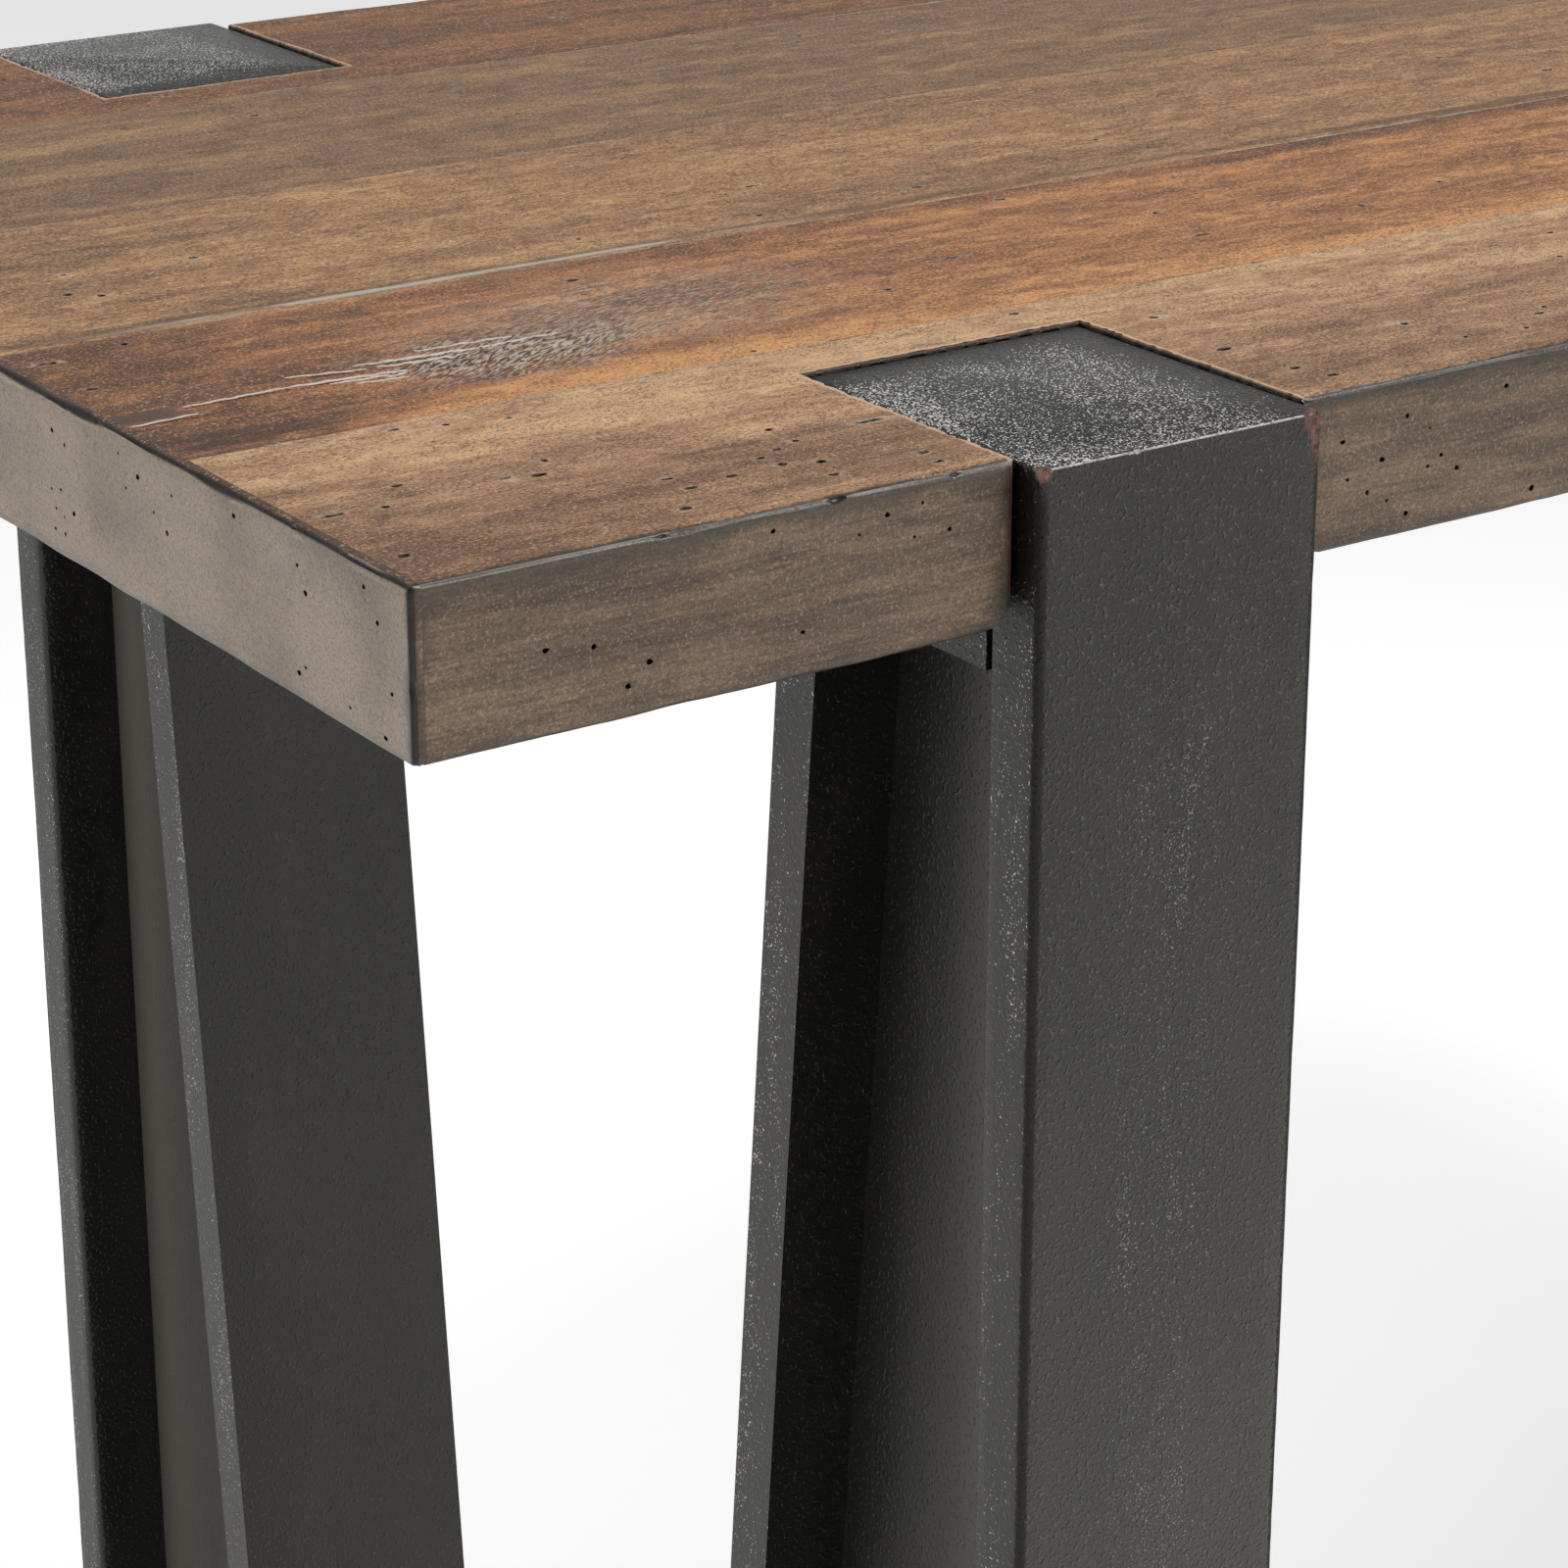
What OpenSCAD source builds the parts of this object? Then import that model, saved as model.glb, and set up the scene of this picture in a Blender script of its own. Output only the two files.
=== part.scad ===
// Console table: an edge-glued board top carried by four steel I-section legs.
// Each leg's outer flange rises past the edge of the top and ends in a cap plate
// that is let into the top's surface. The origin is on the floor, under the centre.
// +X runs along the table to the right, +Y to the back, +Z up. Millimetres.

/* [Top] */
// Length of the top along X
top_l = 1270; // [1000:10:1600]
// Depth of the top along Y
top_d = 508; // [440:2:600]
// Thickness of the top
top_t = 37; // [34:1:50]
// Height of the top surface above the floor
table_h = 762; // [650:1:900]
// Width of the front and rear boards, which hold the leg notches
edge_board_w = 97; // [96:1:102]
// Width of the second board from the front
second_board_w = 96; // [60:1:110]
// Width of the fourth board from the front
fourth_board_w = 110; // [60:1:120]
// Thickness of the strip glued over each end of the boards
end_strip_t = 3; // [2:0.5:6]

/* [Legs] */
// Width of each leg along X
leg_w = 77; // [60:1:90]
// Distance from the end of the top to the leg
leg_inset = 146; // [60:1:200]
// How far the outer flange stands proud of the top's edge
leg_proud = 7.6; // [5:0.2:8]
// Thickness of the outer flange
outer_flange_t = 17; // [16:0.5:20]
// Thickness of the inner flange, square to its own face
inner_flange_t = 15; // [10:0.5:18]
// Wall thickness of the flange and web tubes
tube_wall = 2; // [1.5:0.5:3]
// How far the web is set in from each side of the leg
web_inset = 24; // [13:1:28]
// Depth of the whole leg where it meets the underside of the top
leg_depth_top = 94; // [90:1:96]
// How much deeper the leg gets per millimetre of height going down
leg_taper = 0.084; // [0.02:0.002:0.1]

/* [Plates] */
// Thickness of the cap plate let into the top
cap_t = 5; // [4:0.5:6]
// Depth of the cap plate from the leg's outer face
cap_depth = 85; // [60:1:86]
// Clearance round the cap plate and the leg in the top
notch_gap = 1.1; // [0.5:0.1:2]
// How far the cap plate lies below the top surface
cap_drop = 0.6; // [0.2:0.1:1.5]
// Thickness of the mounting plate under the top
mount_plate_t = 13; // [8:1:16]
// Depth of the mounting plate from the leg's outer face
mount_plate_end = 136; // [132:1:145]
// Thickness of the foot plate
foot_plate_t = 5; // [4:0.5:8]

/* [Fasteners] */
// Thread diameter of the leg bolts
bolt_d = 6; // [5:1:7]
// Length of the leg bolts under the head
bolt_l = 26; // [24:1:27]
// Diameter of the floor glides
glide_d = 30; // [20:1:36]
// Thickness of the floor glides under the foot plate
glide_t = 4; // [3:0.5:6]

/* [Hidden] */

$fn = 48;
LEFT = -1;
RIGHT = 1;
FRONT = -1;
REAR = 1;
SIDES_X = [LEFT, RIGHT];
SIDES_Y = [FRONT, REAR];
eps = 0.01;

// Colours
light_wood = "#9b7d59";
red_wood = "#8a5a35";
olive_wood = "#7d6a4a";
end_wood = "#8a7f74";
inner_wood = "#b89a6c";
charcoal = "#3a3a38";
zinc = "#a8a8a4";
brass_tone = "#b08d3e";
black_rubber = "#1c1c1c";

// Heights
under_top_z = table_h - top_t;
mount_plate_z = under_top_z - mount_plate_t;
cap_top_z = table_h - cap_drop;
cap_z = cap_top_z - cap_t;
foot_top_z = glide_t + foot_plate_t;

// Boards, from the front: seams at distances from the front edge of the top
middle_board_w = top_d - 2 * edge_board_w - second_board_w - fourth_board_w;
board_w = [edge_board_w, second_board_w, middle_board_w, fourth_board_w, edge_board_w];
seam_y = [for (i = [0:5]) i == 0 ? 0 : sum_first(board_w, i)];
board_l = top_l - 2 * end_strip_t;

// Loose tongues in the board seams
tongue_t = 6;
tongue_w = 20;
tongue_gap = 0.2;
tongue_stop = 40;

// Holes for the fasteners, in the leg's own frame
// Two in the web's recess on the table's inner side, and two behind the inner flange
bolt_places = [
    [leg_w - web_inset / 2, 34],
    [leg_w - web_inset / 2, 62],
    [19, 119],
    [leg_w - 19, 119]
];
plate_hole_r = bolt_d / 2 + 0.5;
insert_r = bolt_d / 2 + 2;
insert_gap = 0.05;
insert_l = 14;
insert_hole_l = 15;
washer_r = bolt_d;
washer_t = 1.6;
bolt_head_r = bolt_d * 0.875;
bolt_head_t = bolt_d * 0.55;
bolt_gap = 0.05;
hex_key_r = bolt_d * 0.385;
hex_key_depth = bolt_d * 0.33;

// Glides, in the leg's own frame
glide_y = [24, 126];
glide_stem_r = 4;
glide_stem_gap = 0.05;
glide_stem_l = foot_plate_t - 0.2;
glide_chamfer = 1;

function sum_first(list, count) = count == 0 ? 0 : list[count - 1] + sum_first(list, count - 1);

// Distance from the leg's outer face to the back of its inner flange at height z
function leg_back(z) = leg_depth_top + (under_top_z - z) * leg_taper;
// Thickness of the inner flange measured level, across its slope
inner_level_t = inner_flange_t * sqrt(1 + leg_taper * leg_taper);
inner_level_wall = tube_wall * sqrt(1 + leg_taper * leg_taper);

// Moves a shape from a leg's own frame to that leg's place. In that frame x runs from the
// side nearest the end of the table, and y from the outer face towards the table's middle.
module at_leg(side_x, side_y) {
    mirror([side_x == RIGHT ? 1 : 0, 0, 0])
        mirror([0, side_y == REAR ? 1 : 0, 0])
            translate([-top_l / 2 + leg_inset, -top_d / 2 - leg_proud, 0])
                children();
}

module at_every_leg() {
    for (side_x = SIDES_X, side_y = SIDES_Y)
        at_leg(side_x, side_y) children();
}

module at_bolts() {
    for (place = bolt_places)
        translate([place[0], place[1], 0]) children();
}

// A side outline in y and z, extruded along x from x0 over the width w
module side_extrude(x0, w) {
    translate([x0, 0, 0])
        rotate([90, 0, 90])
            linear_extrude(height = w) children();
}

// ---- Top ----

// Room in the top for one leg: a slot through the edge for the outer flange,
// and a shallow pocket for the cap plate
module leg_notch() {
    notch_w = leg_w + 2 * notch_gap;
    slot_back = outer_flange_t + notch_gap;
    translate([-notch_gap, -notch_gap, under_top_z - 1])
        cube([notch_w, slot_back + notch_gap, top_t + 2]);
    translate([-notch_gap, -notch_gap, cap_z - 0.3])
        cube([notch_w, cap_depth + 2 * notch_gap, top_t]);
}

module insert_holes() {
    at_bolts()
        translate([0, 0, under_top_z - eps])
            cylinder(r = insert_r + insert_gap, h = insert_hole_l + eps);
}

// A groove along a seam, wide enough for half of a tongue on each side
module seam_groove(seam) {
    translate([
        -board_l / 2 + tongue_stop - 1,
        -top_d / 2 + seam_y[seam] - tongue_w / 2 - tongue_gap,
        under_top_z + top_t / 2 - tongue_t / 2 - tongue_gap / 2
    ])
        cube([board_l - 2 * tongue_stop + 2, tongue_w + 2 * tongue_gap, tongue_t + tongue_gap]);
}

module board(index, tone) {
    color(tone)
        difference() {
            translate([-board_l / 2, -top_d / 2 + seam_y[index], under_top_z])
                cube([board_l, board_w[index], top_t]);
            if (index > 0) seam_groove(index);
            if (index < 4) seam_groove(index + 1);
            if (index != 2)
                at_every_leg() {
                    leg_notch();
                    insert_holes();
                }
        }
}

module board_front() { board(0, light_wood); }
module board_second() { board(1, red_wood); }
module board_middle() { board(2, olive_wood); }
module board_fourth() { board(3, light_wood); }
module board_rear() { board(4, red_wood); }

module seam_tongue(seam) {
    color(inner_wood)
        translate([
            -board_l / 2 + tongue_stop,
            -top_d / 2 + seam_y[seam] - tongue_w / 2,
            under_top_z + top_t / 2 - tongue_t / 2
        ])
            cube([board_l - 2 * tongue_stop, tongue_w, tongue_t]);
}

module end_strip(side_x) {
    color(end_wood)
        mirror([side_x == RIGHT ? 1 : 0, 0, 0])
            translate([-top_l / 2, -top_d / 2, under_top_z])
                cube([end_strip_t, top_d, top_t]);
}

// ---- Legs ----

// Upright tube that passes the edge of the top, closed by the cap plate and the foot plate
module outer_flange(side_x, side_y) {
    color(charcoal)
        at_leg(side_x, side_y)
            difference() {
                translate([0, 0, foot_top_z])
                    cube([leg_w, outer_flange_t, cap_z - foot_top_z]);
                translate([tube_wall, tube_wall, foot_top_z - 1])
                    cube([leg_w - 2 * tube_wall, outer_flange_t - 2 * tube_wall, table_h]);
            }
}

// Level slice of a sloping plate between two heights, as a side outline
module sloping_outline(low_z, high_z, inset, level_t) {
    polygon([
        [leg_back(low_z) - inset - level_t, low_z],
        [leg_back(low_z) - inset, low_z],
        [leg_back(high_z) - inset, high_z],
        [leg_back(high_z) - inset - level_t, high_z]
    ]);
}

// Sloping tube on the table's inner side, cut level under the mounting plate
module inner_flange(side_x, side_y) {
    color(charcoal)
        at_leg(side_x, side_y)
            difference() {
                side_extrude(0, leg_w)
                    sloping_outline(foot_top_z, mount_plate_z, 0, inner_level_t);
                side_extrude(tube_wall, leg_w - 2 * tube_wall)
                    sloping_outline(foot_top_z - 1, mount_plate_z + 1, inner_level_wall,
                        inner_level_t - 2 * inner_level_wall);
            }
}

// Side outline of the space between the flanges, less a wall at its front and back
module web_outline(low_z, high_z, front_wall, back_wall) {
    polygon([
        [outer_flange_t + front_wall, low_z],
        [leg_back(low_z) - inner_level_t - back_wall, low_z],
        [leg_back(high_z) - inner_level_t - back_wall, high_z],
        [outer_flange_t + front_wall, high_z]
    ]);
}

// Tube that joins the two flanges, set in from both sides of the leg
module web(side_x, side_y) {
    bore_inset = web_inset + tube_wall;
    color(charcoal)
        at_leg(side_x, side_y)
            difference() {
                side_extrude(web_inset, leg_w - 2 * web_inset)
                    web_outline(foot_top_z, mount_plate_z, 0, 0);
                side_extrude(bore_inset, leg_w - 2 * bore_inset)
                    web_outline(foot_top_z - 1, mount_plate_z + 1, tube_wall, inner_level_wall);
            }
}

module cap_plate(side_x, side_y) {
    color(charcoal)
        at_leg(side_x, side_y)
            translate([0, 0, cap_z])
                cube([leg_w, cap_depth, cap_t]);
}

module mount_plate(side_x, side_y) {
    plate_y = outer_flange_t + 1;
    color(charcoal)
        at_leg(side_x, side_y)
            difference() {
                translate([0, plate_y, mount_plate_z])
                    cube([leg_w, mount_plate_end - plate_y, mount_plate_t]);
                at_bolts()
                    translate([0, 0, mount_plate_z - 1])
                        cylinder(r = plate_hole_r, h = mount_plate_t + 2);
            }
}

module foot_plate(side_x, side_y) {
    color(charcoal)
        at_leg(side_x, side_y)
            difference() {
                translate([0, 0, glide_t])
                    cube([leg_w, leg_back(foot_top_z), foot_plate_t]);
                for (y = glide_y)
                    translate([leg_w / 2, y, glide_t - 1])
                        cylinder(r = glide_stem_r + glide_stem_gap, h = foot_plate_t + 2);
            }
}

// ---- Fasteners and glides ----

// Round-headed hexagon socket bolts, put in from below
module leg_bolts() {
    head_z = mount_plate_z - washer_t;
    color(zinc)
        at_every_leg() at_bolts()
            translate([0, 0, head_z])
                difference() {
                    union() {
                        rotate_extrude()
                            polygon([
                                [0, -bolt_head_t],
                                [bolt_head_r * 0.55, -bolt_head_t],
                                [bolt_head_r * 0.85, -bolt_head_t * 0.7],
                                [bolt_head_r, -bolt_head_t * 0.25],
                                [bolt_head_r, 0],
                                [0, 0]
                            ]);
                        cylinder(d = bolt_d, h = bolt_l);
                    }
                    translate([0, 0, -bolt_head_t - eps])
                        cylinder(r = hex_key_r, h = hex_key_depth, $fn = 6);
                }
}

module bolt_washers() {
    color(zinc)
        at_every_leg() at_bolts()
            translate([0, 0, mount_plate_z - washer_t])
                difference() {
                    cylinder(r = washer_r, h = washer_t);
                    translate([0, 0, -1])
                        cylinder(r = bolt_d / 2 + 0.2, h = washer_t + 2);
                }
}

module threaded_inserts() {
    color(brass_tone)
        at_every_leg() at_bolts()
            translate([0, 0, under_top_z])
                difference() {
                    cylinder(r = insert_r, h = insert_l);
                    translate([0, 0, -1])
                        cylinder(r = bolt_d / 2 + bolt_gap, h = insert_l + 2);
                }
}

module floor_glides() {
    color(black_rubber)
        at_every_leg()
            for (y = glide_y)
                translate([leg_w / 2, y, 0]) {
                    rotate_extrude()
                        polygon([
                            [0, 0],
                            [glide_d / 2 - glide_chamfer, 0],
                            [glide_d / 2, glide_chamfer],
                            [glide_d / 2, glide_t],
                            [glide_stem_r, glide_t],
                            [glide_stem_r, glide_t + glide_stem_l],
                            [0, glide_t + glide_stem_l]
                        ]);
                }
}

board_front();
board_second();
board_middle();
board_fourth();
board_rear();
seam_tongue(1);  // seam_tongue_1
seam_tongue(2);  // seam_tongue_2
seam_tongue(3);  // seam_tongue_3
seam_tongue(4);  // seam_tongue_4
end_strip(LEFT);  // end_strip_left
end_strip(RIGHT);  // end_strip_right
outer_flange(LEFT, FRONT);  // front_left_outer_flange
inner_flange(LEFT, FRONT);  // front_left_inner_flange
web(LEFT, FRONT);  // front_left_web
cap_plate(LEFT, FRONT);  // front_left_cap_plate
mount_plate(LEFT, FRONT);  // front_left_mount_plate
foot_plate(LEFT, FRONT);  // front_left_foot_plate
outer_flange(RIGHT, FRONT);  // front_right_outer_flange
inner_flange(RIGHT, FRONT);  // front_right_inner_flange
web(RIGHT, FRONT);  // front_right_web
cap_plate(RIGHT, FRONT);  // front_right_cap_plate
mount_plate(RIGHT, FRONT);  // front_right_mount_plate
foot_plate(RIGHT, FRONT);  // front_right_foot_plate
outer_flange(LEFT, REAR);  // rear_left_outer_flange
inner_flange(LEFT, REAR);  // rear_left_inner_flange
web(LEFT, REAR);  // rear_left_web
cap_plate(LEFT, REAR);  // rear_left_cap_plate
mount_plate(LEFT, REAR);  // rear_left_mount_plate
foot_plate(LEFT, REAR);  // rear_left_foot_plate
outer_flange(RIGHT, REAR);  // rear_right_outer_flange
inner_flange(RIGHT, REAR);  // rear_right_inner_flange
web(RIGHT, REAR);  // rear_right_web
cap_plate(RIGHT, REAR);  // rear_right_cap_plate
mount_plate(RIGHT, REAR);  // rear_right_mount_plate
foot_plate(RIGHT, REAR);  // rear_right_foot_plate
leg_bolts();
bolt_washers();
threaded_inserts();
floor_glides();
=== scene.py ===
"""Console table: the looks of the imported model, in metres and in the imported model's frame."""
import math

import bmesh
import bpy
import numpy as np
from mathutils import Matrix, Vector


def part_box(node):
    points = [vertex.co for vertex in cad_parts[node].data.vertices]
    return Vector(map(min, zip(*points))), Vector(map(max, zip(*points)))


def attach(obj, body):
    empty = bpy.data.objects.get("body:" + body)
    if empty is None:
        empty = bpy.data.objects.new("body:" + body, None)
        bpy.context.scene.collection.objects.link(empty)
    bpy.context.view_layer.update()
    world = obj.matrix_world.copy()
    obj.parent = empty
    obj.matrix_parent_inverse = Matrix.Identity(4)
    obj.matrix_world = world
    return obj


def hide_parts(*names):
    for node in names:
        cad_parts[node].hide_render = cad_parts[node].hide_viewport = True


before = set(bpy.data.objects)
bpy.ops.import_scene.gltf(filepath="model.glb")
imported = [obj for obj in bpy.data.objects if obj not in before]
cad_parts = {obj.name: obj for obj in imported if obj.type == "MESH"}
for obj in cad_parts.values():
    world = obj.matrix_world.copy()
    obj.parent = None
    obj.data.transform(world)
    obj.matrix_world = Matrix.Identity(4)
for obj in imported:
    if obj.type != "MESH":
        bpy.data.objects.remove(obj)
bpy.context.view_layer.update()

MM = 0.001
BODY = "root"
BOARDS = ["board_front", "board_second", "board_middle", "board_fourth", "board_rear"]
LEGS = ["front_left", "front_right", "rear_left", "rear_right"]

# ---- Places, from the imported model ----

TOP_LO = Vector([min(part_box("end_strip_left")[0].x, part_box("board_front")[0].x),
                 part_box("board_front")[0].y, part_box("board_front")[0].z])
TOP_HI = Vector([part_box("end_strip_right")[1].x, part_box("board_rear")[1].y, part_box("board_front")[1].z])
CAP_LO, CAP_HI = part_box("front_left_cap_plate")
FLANGE_LO, FLANGE_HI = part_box("front_left_outer_flange")
LEG_MIDDLE = abs(CAP_LO.x + CAP_HI.x) / 2
LEG_HALF = (CAP_HI.x - CAP_LO.x) / 2
NOTCH_GAP = 1.1 * MM
CORNER = Vector([TOP_LO.x, TOP_LO.y, TOP_HI.z])


def from_corner(across, back):
    """A place on the top surface, in mm from its front left corner."""
    return CORNER.x + across * MM, CORNER.y + back * MM


# ---- Noise for the meshes ----

def lattice_noise(a, b, cell, seed):
    """Smooth noise from -1 to 1 over two coordinates in metres, with cells of the given size."""
    size = 256
    table = np.random.default_rng(seed).random((size, size)) * 2 - 1
    u, v = a / cell, b / cell
    iu, iv = np.floor(u).astype(int), np.floor(v).astype(int)
    fu, fv = u - iu, v - iv
    fu, fv = fu * fu * (3 - 2 * fu), fv * fv * (3 - 2 * fv)
    i0, i1, j0, j1 = iu % size, (iu + 1) % size, iv % size, (iv + 1) % size
    low = table[i0, j0] * (1 - fu) + table[i1, j0] * fu
    high = table[i0, j1] * (1 - fu) + table[i1, j1] * fu
    return low * (1 - fv) + high * fv


def rough_noise(a, b, cell, seed, octaves=3):
    """Several layers of lattice noise, each half the size and strength of the last."""
    total = 0
    for k in range(octaves):
        total = total + lattice_noise(a, b, cell / 2**k, seed + k) / 2**k
    return total / 1.6


def fade(distance, inner, outer):
    """1 where distance is under inner, falling smoothly to 0 at outer."""
    t = np.clip((outer - distance) / (outer - inner), 0, 1)
    return t * t * (3 - 2 * t)


# ---- Bars: every board and end strip, and each outer flange and cap plate, is a rounded bar swept along one axis ----

AXES = {"x": (0, 1, 2), "y": (1, 0, 2), "z": (2, 0, 1)}
SIDES = ["v_lo", "u_hi", "v_hi", "u_lo"]
ARC_STEPS = 3


def end_inset(stations, radius):
    """How far the sides draw in at each station so that both ends of a bar are rounded."""
    if radius <= 0:
        return np.zeros_like(stations)
    from_end = np.minimum(stations - stations[0], stations[-1] - stations)
    reach = np.clip(radius - from_end, 0, radius)
    return radius - np.sqrt(radius**2 - reach**2)


def with_end_stations(stations, radius, steps=4):
    """Adds stations near both ends, where the rounding needs them."""
    if radius <= 0:
        return np.asarray(stations, float)
    near = [radius * (1 - math.cos(math.pi / 2 * k / steps)) for k in range(steps + 1)]
    inner = [s for s in stations if stations[0] + radius < s < stations[-1] - radius]
    return np.array([stations[0] + n for n in near] + inner + [stations[-1] - n for n in reversed(near)])


def rounded_bar(lo, hi, axis, stations, flats, radii, end_radius=0.0, end_sides=SIDES, shape=None):
    """Vertices and faces of a closed bar.

    flats maps each side to the number of points between its corners, or to their places from 0 to 1.
    radii holds the four corner radii, each a number or an array over the stations.
    shape takes points and outward normals and returns how far each point moves out.
    """
    main, u_axis, v_axis = AXES[axis]
    stations = with_end_stations(list(stations), end_radius)
    count = len(stations)
    inset = end_inset(stations, end_radius)
    edge = {}
    for side in SIDES:
        across = u_axis if side[0] == "u" else v_axis
        drawn_in = inset * (side in end_sides)
        edge[side] = lo[across] + drawn_in if side.endswith("lo") else hi[across] - drawn_in
    corners = [("u_lo", "v_lo", 180), ("u_hi", "v_lo", 270), ("u_hi", "v_hi", 0), ("u_lo", "v_hi", 90)]
    radii = [np.broadcast_to(np.asarray(r, float), (count,)) for r in radii]
    columns = []
    for k, (u_side, v_side, start) in enumerate(corners):
        r = radii[k]
        centre_u = edge[u_side] + r * (1 if u_side == "u_lo" else -1)
        centre_v = edge[v_side] + r * (1 if v_side == "v_lo" else -1)
        for step in range(ARC_STEPS + 1):
            angle = math.radians(start + 90 * step / ARC_STEPS)
            nu, nv = math.cos(angle), math.sin(angle)
            columns.append((centre_u + r * nu, centre_v + r * nv, nu, nv))
        side = SIDES[k]
        spots = flats.get(side, 0)
        if isinstance(spots, int):
            spots = [(j + 1) / (spots + 1) for j in range(spots)]
        next_u, next_v, _ = corners[(k + 1) % 4]
        r2 = radii[(k + 1) % 4]
        nu, nv = {"v_lo": (0, -1), "u_hi": (1, 0), "v_hi": (0, 1), "u_lo": (-1, 0)}[side]
        begin_u, begin_v = columns[-1][0], columns[-1][1]
        end_u = edge[next_u] + (r2 * (1 if next_u == "u_lo" else -1) if nu == 0 else 0)
        end_v = edge[next_v] + (r2 * (1 if next_v == "v_lo" else -1) if nv == 0 else 0)
        for t in spots:
            columns.append((begin_u + (end_u - begin_u) * t, begin_v + (end_v - begin_v) * t, nu, nv))
    ring = len(columns)
    points = np.zeros((count, ring, 3))
    normals = np.zeros((count, ring, 3))
    points[:, :, main] = stations[:, None]
    for j, (u, v, nu, nv) in enumerate(columns):
        points[:, j, u_axis], points[:, j, v_axis] = u, v
        normals[:, j, u_axis], normals[:, j, v_axis] = nu, nv
    if shape is not None:
        points += normals * shape(points, normals)[:, :, None]
    index = np.arange(count * ring).reshape(count, ring)
    following = np.roll(index, -1, axis=1)
    quads = np.stack([index[:-1], following[:-1], following[1:], index[1:]], axis=-1).reshape(-1, 4)
    faces = quads.tolist() + [index[0].tolist()[::-1], index[-1].tolist()]
    return points.reshape(-1, 3), faces


def new_object(name, points, faces):
    """A mesh object with its faces turned outward."""
    mesh = bpy.data.meshes.new(name)
    mesh.from_pydata(np.asarray(points).tolist(), [], faces)
    work = bmesh.new()
    work.from_mesh(mesh)
    bmesh.ops.recalc_face_normals(work, faces=work.faces)
    work.to_mesh(mesh)
    work.free()
    obj = bpy.data.objects.new(name, mesh)
    bpy.context.scene.collection.objects.link(obj)
    return obj


def cut(obj, cutters):
    """Takes the cutter meshes out of the object, one after the other, and deletes them."""
    for cutter in cutters:
        modifier = obj.modifiers.new("cut", "BOOLEAN")
        modifier.operation = "DIFFERENCE"
        modifier.solver = "MANIFOLD"
        modifier.object = cutter
    depsgraph = bpy.context.evaluated_depsgraph_get()
    mesh = bpy.data.meshes.new_from_object(obj.evaluated_get(depsgraph))
    obj.modifiers.clear()
    old = obj.data
    obj.data = mesh
    bpy.data.meshes.remove(old)
    mesh.name = obj.name
    for cutter in cutters:
        bpy.data.meshes.remove(cutter.data)


def finish_piece(obj, material, slot, *nodes, sharp=40):
    """Shades the piece, gives it its material and puts it in the table."""
    obj.data.materials.clear()
    obj.data.materials.append(material)
    obj.data.shade_smooth()
    obj.data.set_sharp_from_angle(angle=math.radians(sharp))
    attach(obj, BODY)
    if nodes:
        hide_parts(*nodes)
    return obj


def spaced(start, end, step):
    """Evenly spaced values from start to end, no further apart than step."""
    return np.linspace(start, end, max(2, int(math.ceil((end - start) / step)) + 1))


def joined(*parts):
    """Sorted values of several ranges, without near repeats."""
    return np.unique(np.round(np.concatenate(parts), 6))


# ---- Material building blocks ----

# The inputs of a mix node that take its factor and its two colours
MIX_SOCKETS = (0, 6, 7)


def linear(code):
    """The linear colour of a hexadecimal display colour. Any other value stays as it is."""
    if not isinstance(code, str):
        return code
    parts = [int(code[k:k + 2], 16) / 255 for k in (1, 3, 5)]
    return tuple(c / 12.92 if c <= 0.04045 else ((c + 0.055) / 1.055) ** 2.4 for c in parts) + (1.0,)


def grey(value):
    return value, value, value, 1


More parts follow.
